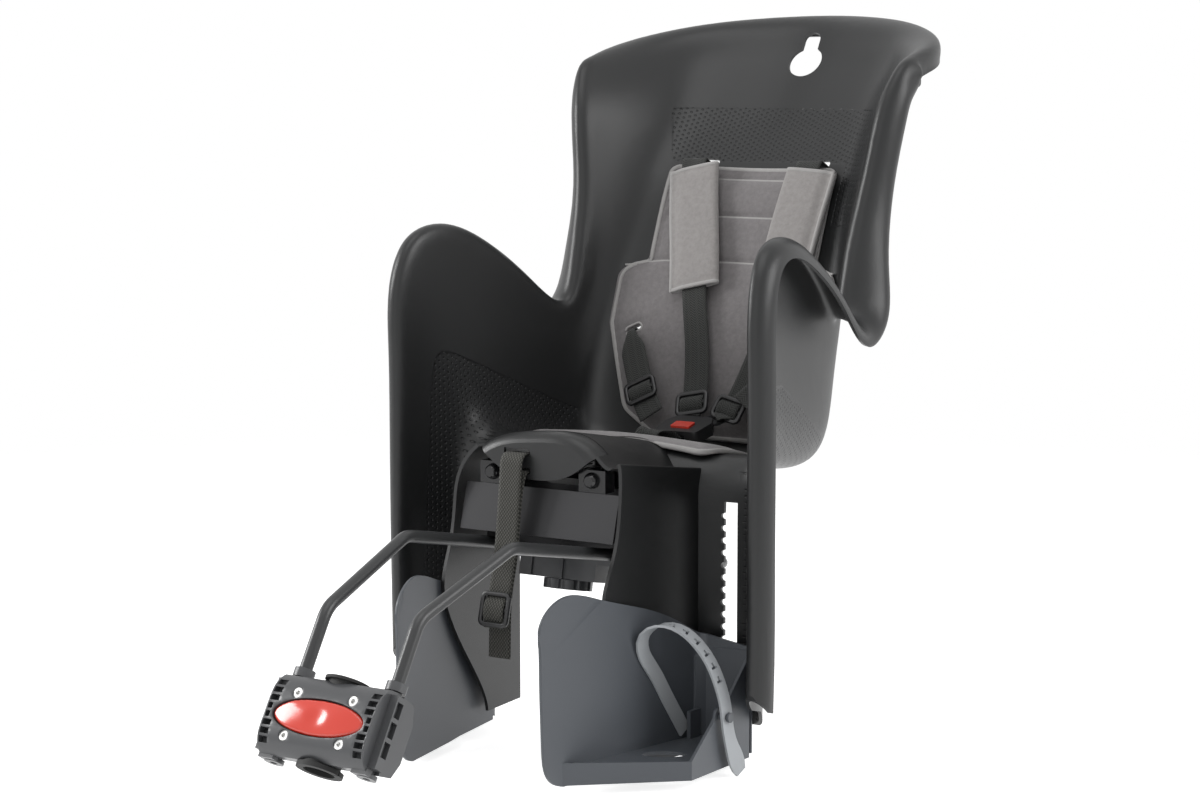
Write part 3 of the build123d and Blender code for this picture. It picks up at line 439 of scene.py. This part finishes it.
def inside(points, loop):
    """Which flat points lie inside a closed outline."""
    x, y = points[:, :1], points[:, 1:]
    x0, y0 = loop[:, 0], loop[:, 1]
    x1, y1 = np.roll(x0, -1), np.roll(y0, -1)
    with np.errstate(divide="ignore", invalid="ignore"):
        at = x0 + (y - y0) * (x1 - x0) / (y1 - y0)
    return (((y0 > y) != (y1 > y)) & (x < at)).sum(axis=1) % 2 == 1


def nearness(*lines):
    """Function for the distance of a flat point from lines of close points."""
    points = [p for line in lines for p in line]
    tree = KDTree(len(points))
    for i, (x, y) in enumerate(points):
        tree.insert((x, y, 0), i)
    tree.balance()
    return lambda x, y: tree.find((x, y, 0))[2]


def inset(loop, distance):
    """Closed outline moved inwards by a distance."""
    along = np.roll(loop, -1, axis=0) - np.roll(loop, 1, axis=0)
    along /= np.hypot(*along.T)[:, None]
    side = np.column_stack([-along[:, 1], along[:, 0]])
    area = (loop[:, 0] * np.roll(loop[:, 1], -1) - np.roll(loop[:, 0], -1) * loop[:, 1]).sum()
    return loop + side * (distance if area > 0 else -distance)


def surface(node):
    """Ray tree of a CAD solid, in millimetres."""
    obj = NODES[node]
    verts = [obj.matrix_world @ v.co / MM for v in obj.data.vertices]
    return BVHTree.FromPolygons(verts, [tuple(p.vertices) for p in obj.data.polygons])


RAY_START, NEAR_START = 90, 6  # millimetres off the plane


class Ground:
    """Plane with the front and back of a CAD pad measured from it."""

    def __init__(self, node, origin, right, up):
        self.origin, self.right, self.up = Vector(origin), Vector(right), Vector(up)
        self.out = self.right.cross(self.up)
        self.tree = surface(node)

    def at(self, x, y, h):
        """Point of the frame in millimetres."""
        return self.origin + self.right * x + self.up * y + self.out * h

    def height(self, x, y, side):
        """Height of the solid's front (side 1) or back (side -1) over the plane."""
        hit = self.tree.ray_cast(self.at(x, y, RAY_START * side), self.out * -side)[0]
        if hit is None:
            hit = self.tree.find_nearest(self.at(x, y, NEAR_START * side))[0]
        return (hit - self.origin).dot(self.out)


def tube(name, path, outs, wide, high, material, body, closed=True, power=2.6):
    """Bead along a path in millimetres, wide across and high along the outward directions."""
    count = len(path)
    sides = 12
    verts, faces = [], []
    for i, (p, out) in enumerate(zip(path, outs)):
        before = path[i - 1] if closed or i else p
        after = path[(i + 1) % count] if closed or i < count - 1 else p
        along = (after - before).normalized()
        side = along.cross(out).normalized()
        h = high[i] if isinstance(high, list) else high
        for k in range(sides):
            c, s = math.cos(2 * math.pi * k / sides), math.sin(2 * math.pi * k / sides)
            a = math.copysign(abs(c) ** (2 / power), c)
            b = math.copysign(abs(s) ** (2 / power), s)
            verts.append((p + side * (wide * a) + out * (h * b)) * MM)
    for i in range(count if closed else count - 1):
        j = (i + 1) % count
        for k in range(sides):
            m = (k + 1) % sides
            faces.append((i * sides + k, i * sides + m, j * sides + m, j * sides + k))
    if not closed:
        faces.append(tuple(range(sides - 1, -1, -1)))
        faces.append(tuple((count - 1) * sides + k for k in range(sides)))
    return add_mesh(name, verts, faces, material, body)


def fill(outline, holes, step):
    """Flat points, triangles and edge pairs that fill an outline with holes."""
    low, high = outline.min(axis=0), outline.max(axis=0)
    rows = np.arange(low[1], high[1], step * 0.866)
    grid = []
    for i, y in enumerate(rows):
        xs = np.arange(low[0] + (step / 2 if i % 2 else 0), high[0], step)
        grid.append(np.column_stack([xs, np.full(len(xs), y)]))
    grid = np.vstack(grid)
    grid = grid[inside(grid, outline)]
    for hole in holes:
        grid = grid[~inside(grid, hole)]
    edge = nearness(outline, *holes)
    grid = np.array([p for p in grid if edge(*p) > step * 0.7])
    loops = [outline, *holes]
    flat = np.vstack([*loops, grid])
    borders, first = [], 0
    for loop in loops:
        borders += [(first + i, first + (i + 1) % len(loop)) for i in range(len(loop))]
        first += len(loop)
    flat, _, triangles, *_ = delaunay_2d_cdt([Vector(p) for p in flat], borders, [], 0, 1e-5)
    flat = np.array([tuple(p) for p in flat])
    triangles = np.array(triangles)
    middle = flat[triangles].mean(axis=1)
    keep = inside(middle, outline)
    for hole in holes:
        keep &= ~inside(middle, hole)
    triangles = triangles[keep]
    a, b, c = (flat[triangles[:, k]] for k in range(3))
    turn = (b - a)[:, 0] * (c - a)[:, 1] - (b - a)[:, 1] * (c - a)[:, 0]
    triangles[turn < 0] = triangles[turn < 0][:, ::-1]
    rim = {}
    for t in triangles:
        for k in range(3):
            pair = (t[k], t[(k + 1) % 3])
            if pair[::-1] in rim:
                del rim[pair[::-1]]
            else:
                rim[pair] = True
    return flat, triangles, list(rim)


def closed_faces(triangles, rim, count):
    """Faces of a closed sheet: the triangles in front, their mirror behind and walls along the rim."""
    faces = [tuple(t) for t in triangles] + [tuple(t[::-1] + count) for t in triangles]
    faces += [(b, a, a + count, b + count) for a, b in rim]
    return [tuple(int(k) for k in face) for face in faces]


MIN_FELT = 0.8


def pad(name, ground, outline, holes, relief, body, step):
    """Closed felt pad over an outline, its front moved by a relief and its back on the CAD solid."""
    flat, triangles, rim = fill(outline, holes, step)
    fronts, backs = [], []
    for x, y in flat:
        back = ground.height(x, y, -1)
        front = max(ground.height(x, y, 1) + relief(x, y), back + MIN_FELT)
        fronts.append(ground.at(x, y, front) * MM)
        backs.append(ground.at(x, y, back) * MM)
    faces = closed_faces(triangles, rim, len(flat))
    obj = add_mesh(name, fronts + backs, faces, MATS["felt"], body)
    return obj


def binding(name, ground, loop, relief, wide, proud, body, closed=True):
    """Light tape folded over the edge of a pad, along a loop a little inside the edge."""
    path, highs = [], []
    for x, y in loop:
        front = ground.height(x, y, 1) + relief(x, y)
        back = ground.height(x, y, -1)
        path.append(ground.at(x, y, (front + back) / 2))
        highs.append((front - back) / 2 + proud)
    outs = [ground.out] * len(path)
    return tube(name, path, outs, wide, highs, MATS["binding"], body, closed, power=3.2)


def seam_highlight(name, ground, line, relief, wide, high, sink, body):
    """Small raised fold along a sewn seam, made in the light binding felt as a painted highlight on the lower
    panel's edge.
    """
    path = [ground.at(x, y, ground.height(x, y, 1) + relief(x, y) - sink) for x, y in line]
    outs = [ground.out] * len(path)
    return tube(name, path, outs, wide, high, MATS["binding"], body, closed=False)


def dent(d, wide, deep):
    """Sewn groove, deepest at distance nought."""
    return -deep * math.exp(-((d / wide) ** 2))


TAPE_INSET, TAPE_HALF = 2.2, 2.5
SLIT_OUTSET, SLIT_HALF = 1.6, 1.5

# Back pad: an upper block with a border and cross seams, over a wide lower block

LEAN = math.radians(24.7)
PAD_UP = (0, math.sin(LEAN), math.cos(LEAN))
back_ground = Ground("back_pad", (0, 666, 356), (1, 0, 0), PAD_UP)
BACK_HALF = [(101, 112, 11), (101, 3, 6), (130, -7, 24), (131, -72, 26), (103, -160, 24), (62, -185, 26)]
back_corners = BACK_HALF + [(-x, up, r) for x, up, r in reversed(BACK_HALF)]
back_loop = rounded_loop(back_corners, 2.5)
WAIST_SLIT = (100, -76.5, 17, 5.5, 28)
waist_loops = [
    slot_loop(-WAIST_SLIT[0], *WAIST_SLIT[1:4], WAIST_SLIT[4], 1.5),
    slot_loop(WAIST_SLIT[0], *WAIST_SLIT[1:4], -WAIST_SLIT[4], 1.5),
]
fine_back = resample(back_loop, 0.5)
back_edge = nearness(fine_back)
slit_edge = nearness(*[resample(loop, 0.4) for loop in waist_loops])
SEAMS = [
    [(-91, 97.5), (0, 98.5), (91, 97.5)],
    [(-91, 54), (0, 55), (91, 54)],
    [(-130, -6), (-102, 1.5), (-60, 3.5), (0, 4.5), (60, 3.5), (102, 1.5), (130, -6)],
]
seam_tracks = [resample(line, 0.5, closed=False) for line in SEAMS]
seam_near = [nearness(track) for track in seam_tracks]


def back_relief(x, up):
    """How far the felt of the back pad stands over the CAD pad's front."""
    d = back_edge(x, up)
    top = smooth((up - 2) / 6)
    seams = [near(x, up) for near in seam_near]
    lower_block = -3.4 + 4.6 * smooth(d / 24)
    upper_block = -3.0 + 1.6 * smooth((d - 8) / 3) + 2.2 * smooth((d - 10) / 12)
    rise = mix(lower_block, upper_block, top)
    rise += dent(d - 5.6, 1.2, 0.9)
    rise += dent(d - 10.2, 1.4, 1.2) * top
    for s in seams[:2]:
        rise += (dent(s, 1.7, 1.9) + dent(s, 8.0, 1.5)) * smooth((d - 8) / 4)
    rise += dent(seams[2], 1.8, 2.0) + dent(seams[2], 7.0, 1.2)
    slit = slit_edge(x, up)
    return rise - 1.8 * (1 - smooth(slit / 9))


back_pad = pad("back_pad_felt", back_ground, back_loop, waist_loops, back_relief, "seat", 2.6)
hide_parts("back_pad")
binding("back_pad_binding", back_ground, inset(back_loop, TAPE_INSET), back_relief, TAPE_HALF, 0.55, "seat")
# Painted highlights: a light bead just under each seam, where the lower panel's edge catches the light
for i, track in enumerate(seam_tracks):
    lower = resample(track, 2.0, closed=False) - np.array([0, 2.1])
    seam_highlight(f"back_pad_seam_highlight_{i}", back_ground, lower[2:-2], back_relief, 1.1, 0.8, 0.15, "seat")
for i, loop in enumerate(waist_loops):
    binding(f"waist_slit_{i}", back_ground, inset(loop, -SLIT_OUTSET), back_relief, SLIT_HALF, 0.5, "seat")

# Seat pad

seat_ground = Ground("seat_pad", (0, 500, 180), (1, 0, 0), (0, 1, 0))
SEAT_CORNERS = [(125, -20), (117, 74), (-117, 74), (-125, -20), (-111, -65), (111, -65)]
SEAT_ROUND = 18
seat_loop = rounded_loop([(x, y, SEAT_ROUND) for x, y in SEAT_CORNERS], 2.5)
crotch_loop = slot_loop(4, 0, 46, 12, 0, 1.5)
seat_edge = nearness(resample(seat_loop, 0.5))
crotch_edge = nearness(resample(crotch_loop, 0.4))


def seat_relief(x, y):
    """How far the felt of the seat pad stands over the CAD pad's front."""
    d = seat_edge(x, y)
    rise = -3.2 + 3.6 * smooth(d / 22) + dent(d - 5.6, 1.2, 0.9)
    return rise - 1.6 * (1 - smooth(crotch_edge(x, y) / 9))


seat_pad = pad("seat_pad_felt", seat_ground, seat_loop, [crotch_loop], seat_relief, "seat", 3.0)
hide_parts("seat_pad")
binding("seat_pad_binding", seat_ground, inset(seat_loop, TAPE_INSET), seat_relief, TAPE_HALF, 0.5, "seat")
binding("crotch_slit", seat_ground, inset(crotch_loop, -SLIT_OUTSET), seat_relief, SLIT_HALF, 0.4, "seat")


# Shoulder pads: felt folded round the strap, bound on its open edges

SLEEVE_HALF = 70
SLEEVE_TAPE = 68.2  # place of the end bindings along the sleeve
SLEEVE_MID = 12.3  # height of the strap in the sleeve over the back pad's plane
LAYER = 1.35  # half the felt's thickness


def frame_on(plane, turn):
    """Directions across and along a shoulder pad that is turned on the back pad's plane."""
    c, s = math.cos(math.radians(turn)), math.sin(math.radians(turn))
    return plane.right * c + plane.up * s, plane.up * c - plane.right * s


def fold_section(flip):
    """Middle line of the folded felt across a shoulder pad, as (across, height) from its open edge and back."""
    front = [(28.6, 12.9), (25.5, 13.0), (22.6, 12.9), (19.5, 13.9), (15, 15.4), (8, 15.9), (0, 16.0)]
    front += [(-10, 15.9), (-18, 15.6), (-23, 15.2), (-26, 14.2), (-27.4, 12.6)]
    rear = [(-26.8, 11.0), (-24, 9.9), (-18, 9.6), (-8, 9.6), (0, 9.6)]
    rear += [(10, 9.6), (18, 9.7), (22.6, 10.1), (28.6, 10.3)]
    return [(flip * a, h) for a, h in front + rear]


def shoulder_pad(side, centre, turn, flip):
    """Sleeve of felt on a shoulder strap, open edge to the outside of the seat."""
    ground = back_ground
    across, along = frame_on(ground, turn)
    middle = ground.at(*centre, 0)
    line = [Vector((a, h, 0)) for a, h in fold_section(flip)]
    line = curve_through(line, 1.6)
    count = len(line)
    normals = []
    for i in range(count):
        t = (line[min(i + 1, count - 1)] - line[max(i - 1, 0)]).normalized()
        normals.append(Vector((-t.y, t.x, 0)) * flip * -1)
    lengths = np.linspace(-SLEEVE_HALF, SLEEVE_HALF, 71)
    verts, faces = [], []

    def spot(i, t, lift):
        """Point of the sleeve at a place on the section and along the pad."""
        end = SLEEVE_HALF - abs(t)
        soft = 1 - 0.16 * math.exp(-((end / 9) ** 2)) - 0.10 * math.exp(-(((end - 6) / 1.6) ** 2))
        p = line[i] + normals[i] * lift
        h = SLEEVE_MID + (p.y - SLEEVE_MID) * soft
        sway = 0.5 * math.sin(t * 0.045 + centre[0])
        return middle + across * (p.x + sway) + along * t + ground.out * h

    ring = 2 * count
    for t in lengths:
        verts += [spot(i, t, LAYER) * MM for i in range(count)]
        verts += [spot(i, t, -LAYER) * MM for i in reversed(range(count))]
    for j in range(len(lengths) - 1):
        for i in range(ring):
            k = (i + 1) % ring
            faces.append((j * ring + i, j * ring + k, (j + 1) * ring + k, (j + 1) * ring + i))
    for j in (0, len(lengths) - 1):
        for i in range(count - 1):
            quad = (j * ring + i, j * ring + i + 1, j * ring + ring - 2 - i, j * ring + ring - 1 - i)
            faces.append(quad if j else quad[::-1])
    obj = add_mesh("shoulder_felt_" + side, verts, faces, MATS["shoulder_felt"], "seat")
    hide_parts("shoulder_pad_" + side)
    for name, t in (("top", SLEEVE_TAPE), ("bottom", -SLEEVE_TAPE)):
        path = [spot(i, t, 0) for i in range(count)]
        outs = [across * n.x + ground.out * n.y for n in normals]
        tube(f"shoulder_{name}_{side}", path, outs, 2.3, LAYER + 0.45, MATS["binding"], "seat", closed=False)
    path = [(spot(0, t, 0) + spot(count - 1, t, 0)) / 2 - across * flip * 1.4 for t in lengths[1:-1]]
    outs = [ground.out] * len(path)
    tube(f"shoulder_edge_{side}", path, outs, 2.4, 3.1, MATS["binding"], "seat", closed=False)


shoulder_pad("left", (73.2, 34.0), -3.5, 1)
shoulder_pad("right", (-47.0, 36.0), 14.2, -1)

# Release button: a smooth dome with a thumb dish

DOME_HALF = (48.7, 16.2)
DOME_REACH = (0.97, 0.93)  # share of the outline inside which heights are measured
DOME_ROUND = 3.0
DOME_MIN = 0.6
DOME_PASSES = 14


def release_dome():
    """Button measured from its CAD solid, with its front evened out and its rim rounded."""
    ground = Ground("release_button", (0, -23.43, 6.92), (1, 0, 0), (0, 0.521, 0.8536))
    turns = np.linspace(0, 2 * math.pi, 160, endpoint=False)
    outline = resample([(DOME_HALF[0] * math.cos(t), DOME_HALF[1] * math.sin(t)) for t in turns], 1.2)
    flat, triangles, rim = fill(outline, [], 1.3)
    heights = np.array([ground.height(x * DOME_REACH[0], y * DOME_REACH[1], 1) for x, y in flat])
    links = np.vstack([triangles[:, [0, 1]], triangles[:, [1, 2]], triangles[:, [2, 0]]])
    links = np.vstack([links, links[:, ::-1]])
    count = np.bincount(links[:, 0], minlength=len(flat))
    for _ in range(DOME_PASSES):
        total = np.bincount(links[:, 0], heights[links[:, 1]], minlength=len(flat))
        heights = total / np.maximum(count, 1)
    edge = nearness(outline)
    fronts, backs = [], []
    for (x, y), h in zip(flat, heights):
        fall = DOME_ROUND - min(edge(x, y), DOME_ROUND)
        drop = DOME_ROUND - math.sqrt(DOME_ROUND**2 - fall * fall)
        fronts.append(ground.at(x, y, max(h - drop, DOME_MIN)) * MM)
        backs.append(ground.at(x, y, 0.0) * MM)
    faces = closed_faces(triangles, rim, len(flat))
    obj = add_mesh("release_dome", fronts + backs, faces, MATS["button"], "release_button")
    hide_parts("release_button")


release_dome()

# Webbing


def strip(name, points, across, width, thick, material, body, step=2.2):
    """Woven strap along a path in millimetres; its width may be a function of the share of its length."""
    path = curve_through(points, step)
    total = sum((b - a).length for a, b in zip(path, path[1:]))
    span = 8
    verts, uvs, faces = [], [], []
    run = 0.0
    last = len(path) - 1
    for i, p in enumerate(path):
        along = (path[min(i + 1, last)] - path[max(i - 1, 0)]).normalized()
        side = (across - along * across.dot(along)).normalized()
        out = along.cross(side)
        wide = width(run / total) if callable(width) else width
        if i < last:
            run_next = run + (path[i + 1] - p).length
        for face in (1, -1):
            for k in range(span + 1):
                u = face * (2 * k / span - 1)
                edge = 1 - 0.55 * abs(u) ** 10
                verts.append((p + side * (u * wide / 2) + out * (face * thick / 2 * edge)) * MM)
                uvs.append(((u * wide / 2) * MM, run * MM))
        run = run_next
    ring = 2 * (span + 1)
    for i in range(last):
        for k in range(ring):
            m = (k + 1) % ring
            faces.append((i * ring + k, i * ring + m, (i + 1) * ring + m, (i + 1) * ring + k))
    for i in (0, last):
        for k in range(span):
            quad = (i * ring + k, i * ring + k + 1, i * ring + ring - 2 - k, i * ring + ring - 1 - k)
            faces.append(quad if i else quad[::-1])
    return add_mesh(name, verts, faces, material, body, uvs)


def lock_plane(start, end, across, share, thick):
    """Place on the front of a strap: origin, across, along and outward directions."""
    start, end = Vector(start), Vector(end)
    along = (end - start).normalized()
    side = (Vector(across) - along * Vector(across).dot(along)).normalized()
    front = along.cross(side)
    if front.dot(back_ground.out) < 0:
        front = -front
    return start + (end - start) * share + front * (thick / 2 + 0.4), side, front.cross(side), front


def ladder_lock(name, plane, width, height, thick, web, loop_material, loop_slot):
    """Strap adjuster: a rounded frame with a bar, and the webbing looped over the bar."""
    origin, side, along, front = plane

    def at(x, y, z):
        return origin + side * x + along * y + front * z

    r = 2.3
    corners = [(-1, -1), (1, -1), (1, 1), (-1, 1)]
    loop = rounded_loop([(a * (width / 2 - r), b * (height / 2 - r), 4.5) for a, b in corners], 1.4)
    path = [at(x, y, thick / 2 + 0.2) for x, y in loop]
    outs = [front] * len(path)
    ring = tube(name + "_frame", path, outs, r, thick / 2, MATS["buckle"], "seat", power=3.4)
    bar = [at(x, 0, thick / 2) for x in np.linspace(-width / 2 + r, width / 2 - r, 9)]
    tube(name + "_bar", bar, [front] * 9, 2.2, thick * 0.36, MATS["buckle"], "seat", closed=False)
    reach = height / 2 - 2 * r
    arc = [(-reach - 2.2, -0.2), (-reach + 0.4, 0.9), (-reach * 0.55, thick * 0.86), (0, thick * 1.13)]
    arc += [(-y, z) for y, z in reversed(arc[:-1])]
    strip(name + "_loop", [at(0, y, z) for y, z in arc], side, web, 1.5, loop_material, "seat", 1.0)
    return ring


def on_buckle(x, y, z):
    """Point of the frame in millimetres at a place on the buckle."""
    right = Vector((1, 0, 0.02))
    out = Vector((0, -0.25, 0.97)).normalized()
    right = (right - out * right.dot(out)).normalized()
    return Vector((20, 548, 190.5)) + right * x + out.cross(right) * y + out * z


WEB, WEB_THICK = 28.0, 1.6
LOCK_MARGIN, LOOP_MARGIN = 9, 2  # frame wider, and its loop narrower, than the strap
LOCK_HEIGHT, LOCK_THICK = 27, 4.5
SHOULDER_PATHS = {
    "left": [
        (71, 115.6, -24),
        (71, 115.6, 7),
        (73, 109, SLEEVE_MID),
        (77, -34, SLEEVE_MID),
        (66, -90, 9.5),
        (49, -162, 15),
    ],
    "right": [
        (-69, 115.6, -24),
        (-69, 115.6, 7),
        (-66, 109, SLEEVE_MID),
        (-28, -38, SLEEVE_MID),
        (-9, -104, 9.5),
        (4, -160, 15),
    ],
}
STRAP_ENDS = {"left": on_buckle(16.3, 30.9, 11.8), "right": on_buckle(-16.3, 30.9, 9.6)}
WAIST_PATHS = {
    "left": [(99.4, -79, -24), (99.4, -79, 3), (96, -87, 8), (88, -132, 24), (70, -160, 30)],
    "right": [(-99.4, -79, -24), (-99.4, -79, 3), (-96, -86, 8), (-61, -150, 15), (-40, -176, 20)],
}
WAIST_ACROSS = {"left": (-0.88, 0.47), "right": (0.88, 0.47)}
SHOULDER_SHARE = {"left": 1.02, "right": 1.0}
WAIST_SHARE = {"left": 0.86, "right": 1.0}
X_AXIS = Vector((1, 0, 0))


def harness_lock(name, start, end, across, share):
    """Adjuster at a share of the way between two points of a harness strap."""
    plane = lock_plane(start, end, across, share, WEB_THICK)
    size = (WEB + LOCK_MARGIN, LOCK_HEIGHT, LOCK_THICK, WEB - LOOP_MARGIN)
    return ladder_lock(name, plane, *size, MATS["webbing"], "webbing")


def pinched(share):
    """Width of a waist strap, gathered where it comes through its slit."""
    return mix(9.0, WEB, smooth((share - 0.20) / 0.22))


for side in ("left", "right"):
    points = [back_ground.at(*p) for p in SHOULDER_PATHS[side]] + [STRAP_ENDS[side]]
    strap = strip("shoulder_web_" + side, points, X_AXIS, WEB, WEB_THICK, MATS["webbing"], "seat")
    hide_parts("shoulder_strap_" + side)
    lock = harness_lock("shoulder_lock_" + side, points[4], points[5], X_AXIS, SHOULDER_SHARE[side])
    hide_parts("shoulder_adjuster_" + side)
    points = [back_ground.at(*p) for p in WAIST_PATHS[side]]
    a, b = WAIST_ACROSS[side]
    across = back_ground.right * a + back_ground.up * b
    strap = strip("waist_web_" + side, points, across, pinched, WEB_THICK, MATS["webbing"], "seat")
    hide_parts("waist_strap_" + side)
    lock = harness_lock("waist_lock_" + side, points[2], points[3], across, WAIST_SHARE[side])
    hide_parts("waist_adjuster_" + side)

crotch = [(2, 500, 170), (2, 500, 196), (5, 504, 199), (11, 516, 197)]
crotch += [on_buckle(-7, -23, 6.5), on_buckle(-6, -14, 6.5)]
strap = strip("crotch_web", crotch, X_AXIS, WEB, WEB_THICK, MATS["webbing"], "seat", 1.5)
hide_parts("crotch_strap")

# Safety strap: two layers through the apron, with its buckle

BELT_FRONT = [(320, 188), (318, 196), (310, 197.1), (303, 197.1), (297.4, 192)]
BELT_FRONT += [(295, 176), (292, 150), (285, 100), (268, 34)]
BELT_BACK = [(320, 188), (318, 180), (312, 179.1), (305, 179.1), (300.5, 171)]
BELT_BACK += [(295.5, 150), (288.5, 100), (279, 62), (276, 4)]
BELT_X, BELT = -22.0, 25.0
BELT_LOCK_HEIGHT, BELT_LOCK_THICK, BELT_LOCK_SHARE = 34, 5, 0.74
front_path = [(BELT_X, *p) for p in BELT_FRONT]
back_path = [(BELT_X, *p) for p in BELT_BACK]
front = strip("safety_web", front_path, X_AXIS, BELT, WEB_THICK, MATS["belt"], "seat")
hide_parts("safety_strap")
strip("safety_web_back", back_path, X_AXIS, BELT, WEB_THICK, MATS["belt"], "seat")
plane = lock_plane(*front_path[-2:], X_AXIS, BELT_LOCK_SHARE, WEB_THICK)
lock_size = (BELT + LOCK_MARGIN, BELT_LOCK_HEIGHT, BELT_LOCK_THICK, BELT - LOOP_MARGIN)
lock = ladder_lock("safety_lock", plane, *lock_size, MATS["belt"], "belt")
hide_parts("safety_buckle")


# Floor, light and camera

FLOOR_HALF, FLOOR_GAP = 4, 0.001
FLOOR_GLOW = 0.80
FLOOR_FADE = (0.7, 2.4)  # metres from the middle where the floor starts to clear and is gone
floor_z = CAD_BOX[0].z - FLOOR_GAP
floor_corners = [(a * FLOOR_HALF, b * FLOOR_HALF, floor_z) for a, b in ((-1, -1), (1, -1), (1, 1), (-1, 1))]
floor = bpy.data.meshes.new("floor")
floor.from_pydata(floor_corners, [], [(0, 1, 2, 3)])
floor_paint = Shader("floor_paint", (0.88, 0.88, 0.88), 0.9, specular=0.0)
rays = floor_paint.node("ShaderNodeLightPath").outputs
seen = floor_paint.math("MAXIMUM", rays["Is Camera Ray"], rays["Is Glossy Ray"])
seen = floor_paint.math("MAXIMUM", seen, rays["Is Transmission Ray"])
glow_level = floor_paint.math("MULTIPLY", seen, FLOOR_GLOW)
glow_inputs = {"Color": (1, 1, 1, 1), "Strength": glow_level}
glow = floor_paint.node("ShaderNodeEmission", inputs=glow_inputs).outputs[0]
lit_inputs = {0: floor_paint.bsdf.outputs[0], 1: glow}
lit = floor_paint.node("ShaderNodeAddShader", inputs=lit_inputs).outputs[0]
reach_inputs = {0: floor_paint.place(), 1: (0, 0.35, floor_z)}
reach = floor_paint.node("ShaderNodeVectorMath", operation="DISTANCE", inputs=reach_inputs)
fade = floor_paint.soft_step(reach.outputs["Value"], *FLOOR_FADE)
clear = floor_paint.node("ShaderNodeBsdfTransparent").outputs[0]
floor_look = floor_paint.node("ShaderNodeMixShader", inputs={0: fade, 1: lit, 2: clear}).outputs[0]
floor_paint.tree.links.new(floor_look, floor_paint.tree.nodes["Material Output"].inputs["Surface"])
floor.materials.append(floor_paint.material)
floor_obj = bpy.data.objects.new("floor", floor)
bpy.context.collection.objects.link(floor_obj)

SKY_LIGHT, SKY_SEEN = 0.44, 1.0
world = bpy.data.worlds.new("studio")
bpy.context.scene.world = world
world.use_nodes = True
tree = world.node_tree
sky = tree.nodes["Background"]
sky.inputs["Color"].default_value = (1, 1, 1, 1)
sky_rays = tree.nodes.new("ShaderNodeLightPath")
sky_level = tree.nodes.new("ShaderNodeMapRange")
sky_level.inputs["To Min"].default_value = SKY_LIGHT
sky_level.inputs["To Max"].default_value = SKY_SEEN
sky_seen = tree.nodes.new("ShaderNodeMath")
sky_seen.operation = "MAXIMUM"
tree.links.new(sky_rays.outputs["Is Camera Ray"], sky_seen.inputs[0])
tree.links.new(sky_rays.outputs["Is Glossy Ray"], sky_seen.inputs[1])
tree.links.new(sky_seen.outputs[0], sky_level.inputs["Value"])
tree.links.new(sky_level.outputs[0], sky.inputs["Strength"])


def lamp(name, place, target, size, power):
    """Soft square lamp that looks at a target."""
    data = bpy.data.lights.new(name, "AREA")
    data.shape = "SQUARE"
    data.size = size
    data.energy = power
    obj = bpy.data.objects.new(name, data)
    obj.location = place
    obj.rotation_mode = "QUATERNION"
    obj.rotation_quaternion = (Vector(target) - Vector(place)).to_track_quat("-Z", "Y")
    bpy.context.collection.objects.link(obj)


MIDDLE = (0, 0.45, 0.25)
lamp("left", (-2.3, -0.8, 1.1), MIDDLE, 1.0, 42)
lamp("right", (2.4, 1.0, 1.2), MIDDLE, 1.3, 29)
lamp("top", (0.2, -0.3, 2.6), MIDDLE, 1.8, 16)
lamp("front", (0.8, -2.6, 1.0), MIDDLE, 2.0, 8)

# Camera fitted to the photograph
CAMERA_PLACE = (1505.3, -1874.9, 570.9)
AZIMUTH, ELEVATION = math.radians(33.30), math.radians(6.91)
LENS, SENSOR = 84.6, 36
lens = bpy.data.cameras.new("camera")
lens.lens = LENS
lens.sensor_width = SENSOR
lens.clip_end = 100
camera = bpy.data.objects.new("camera", lens)
camera.location = vec(CAMERA_PLACE)
level_share = math.cos(ELEVATION)
to_camera = Vector(
    (math.sin(AZIMUTH) * level_share, -math.cos(AZIMUTH) * level_share, math.sin(ELEVATION))
)
camera.rotation_mode = "QUATERNION"
camera.rotation_quaternion = (-to_camera).to_track_quat("-Z", "Y")
bpy.context.collection.objects.link(camera)
bpy.context.scene.camera = camera
bpy.context.scene.view_settings.view_transform = "Standard"
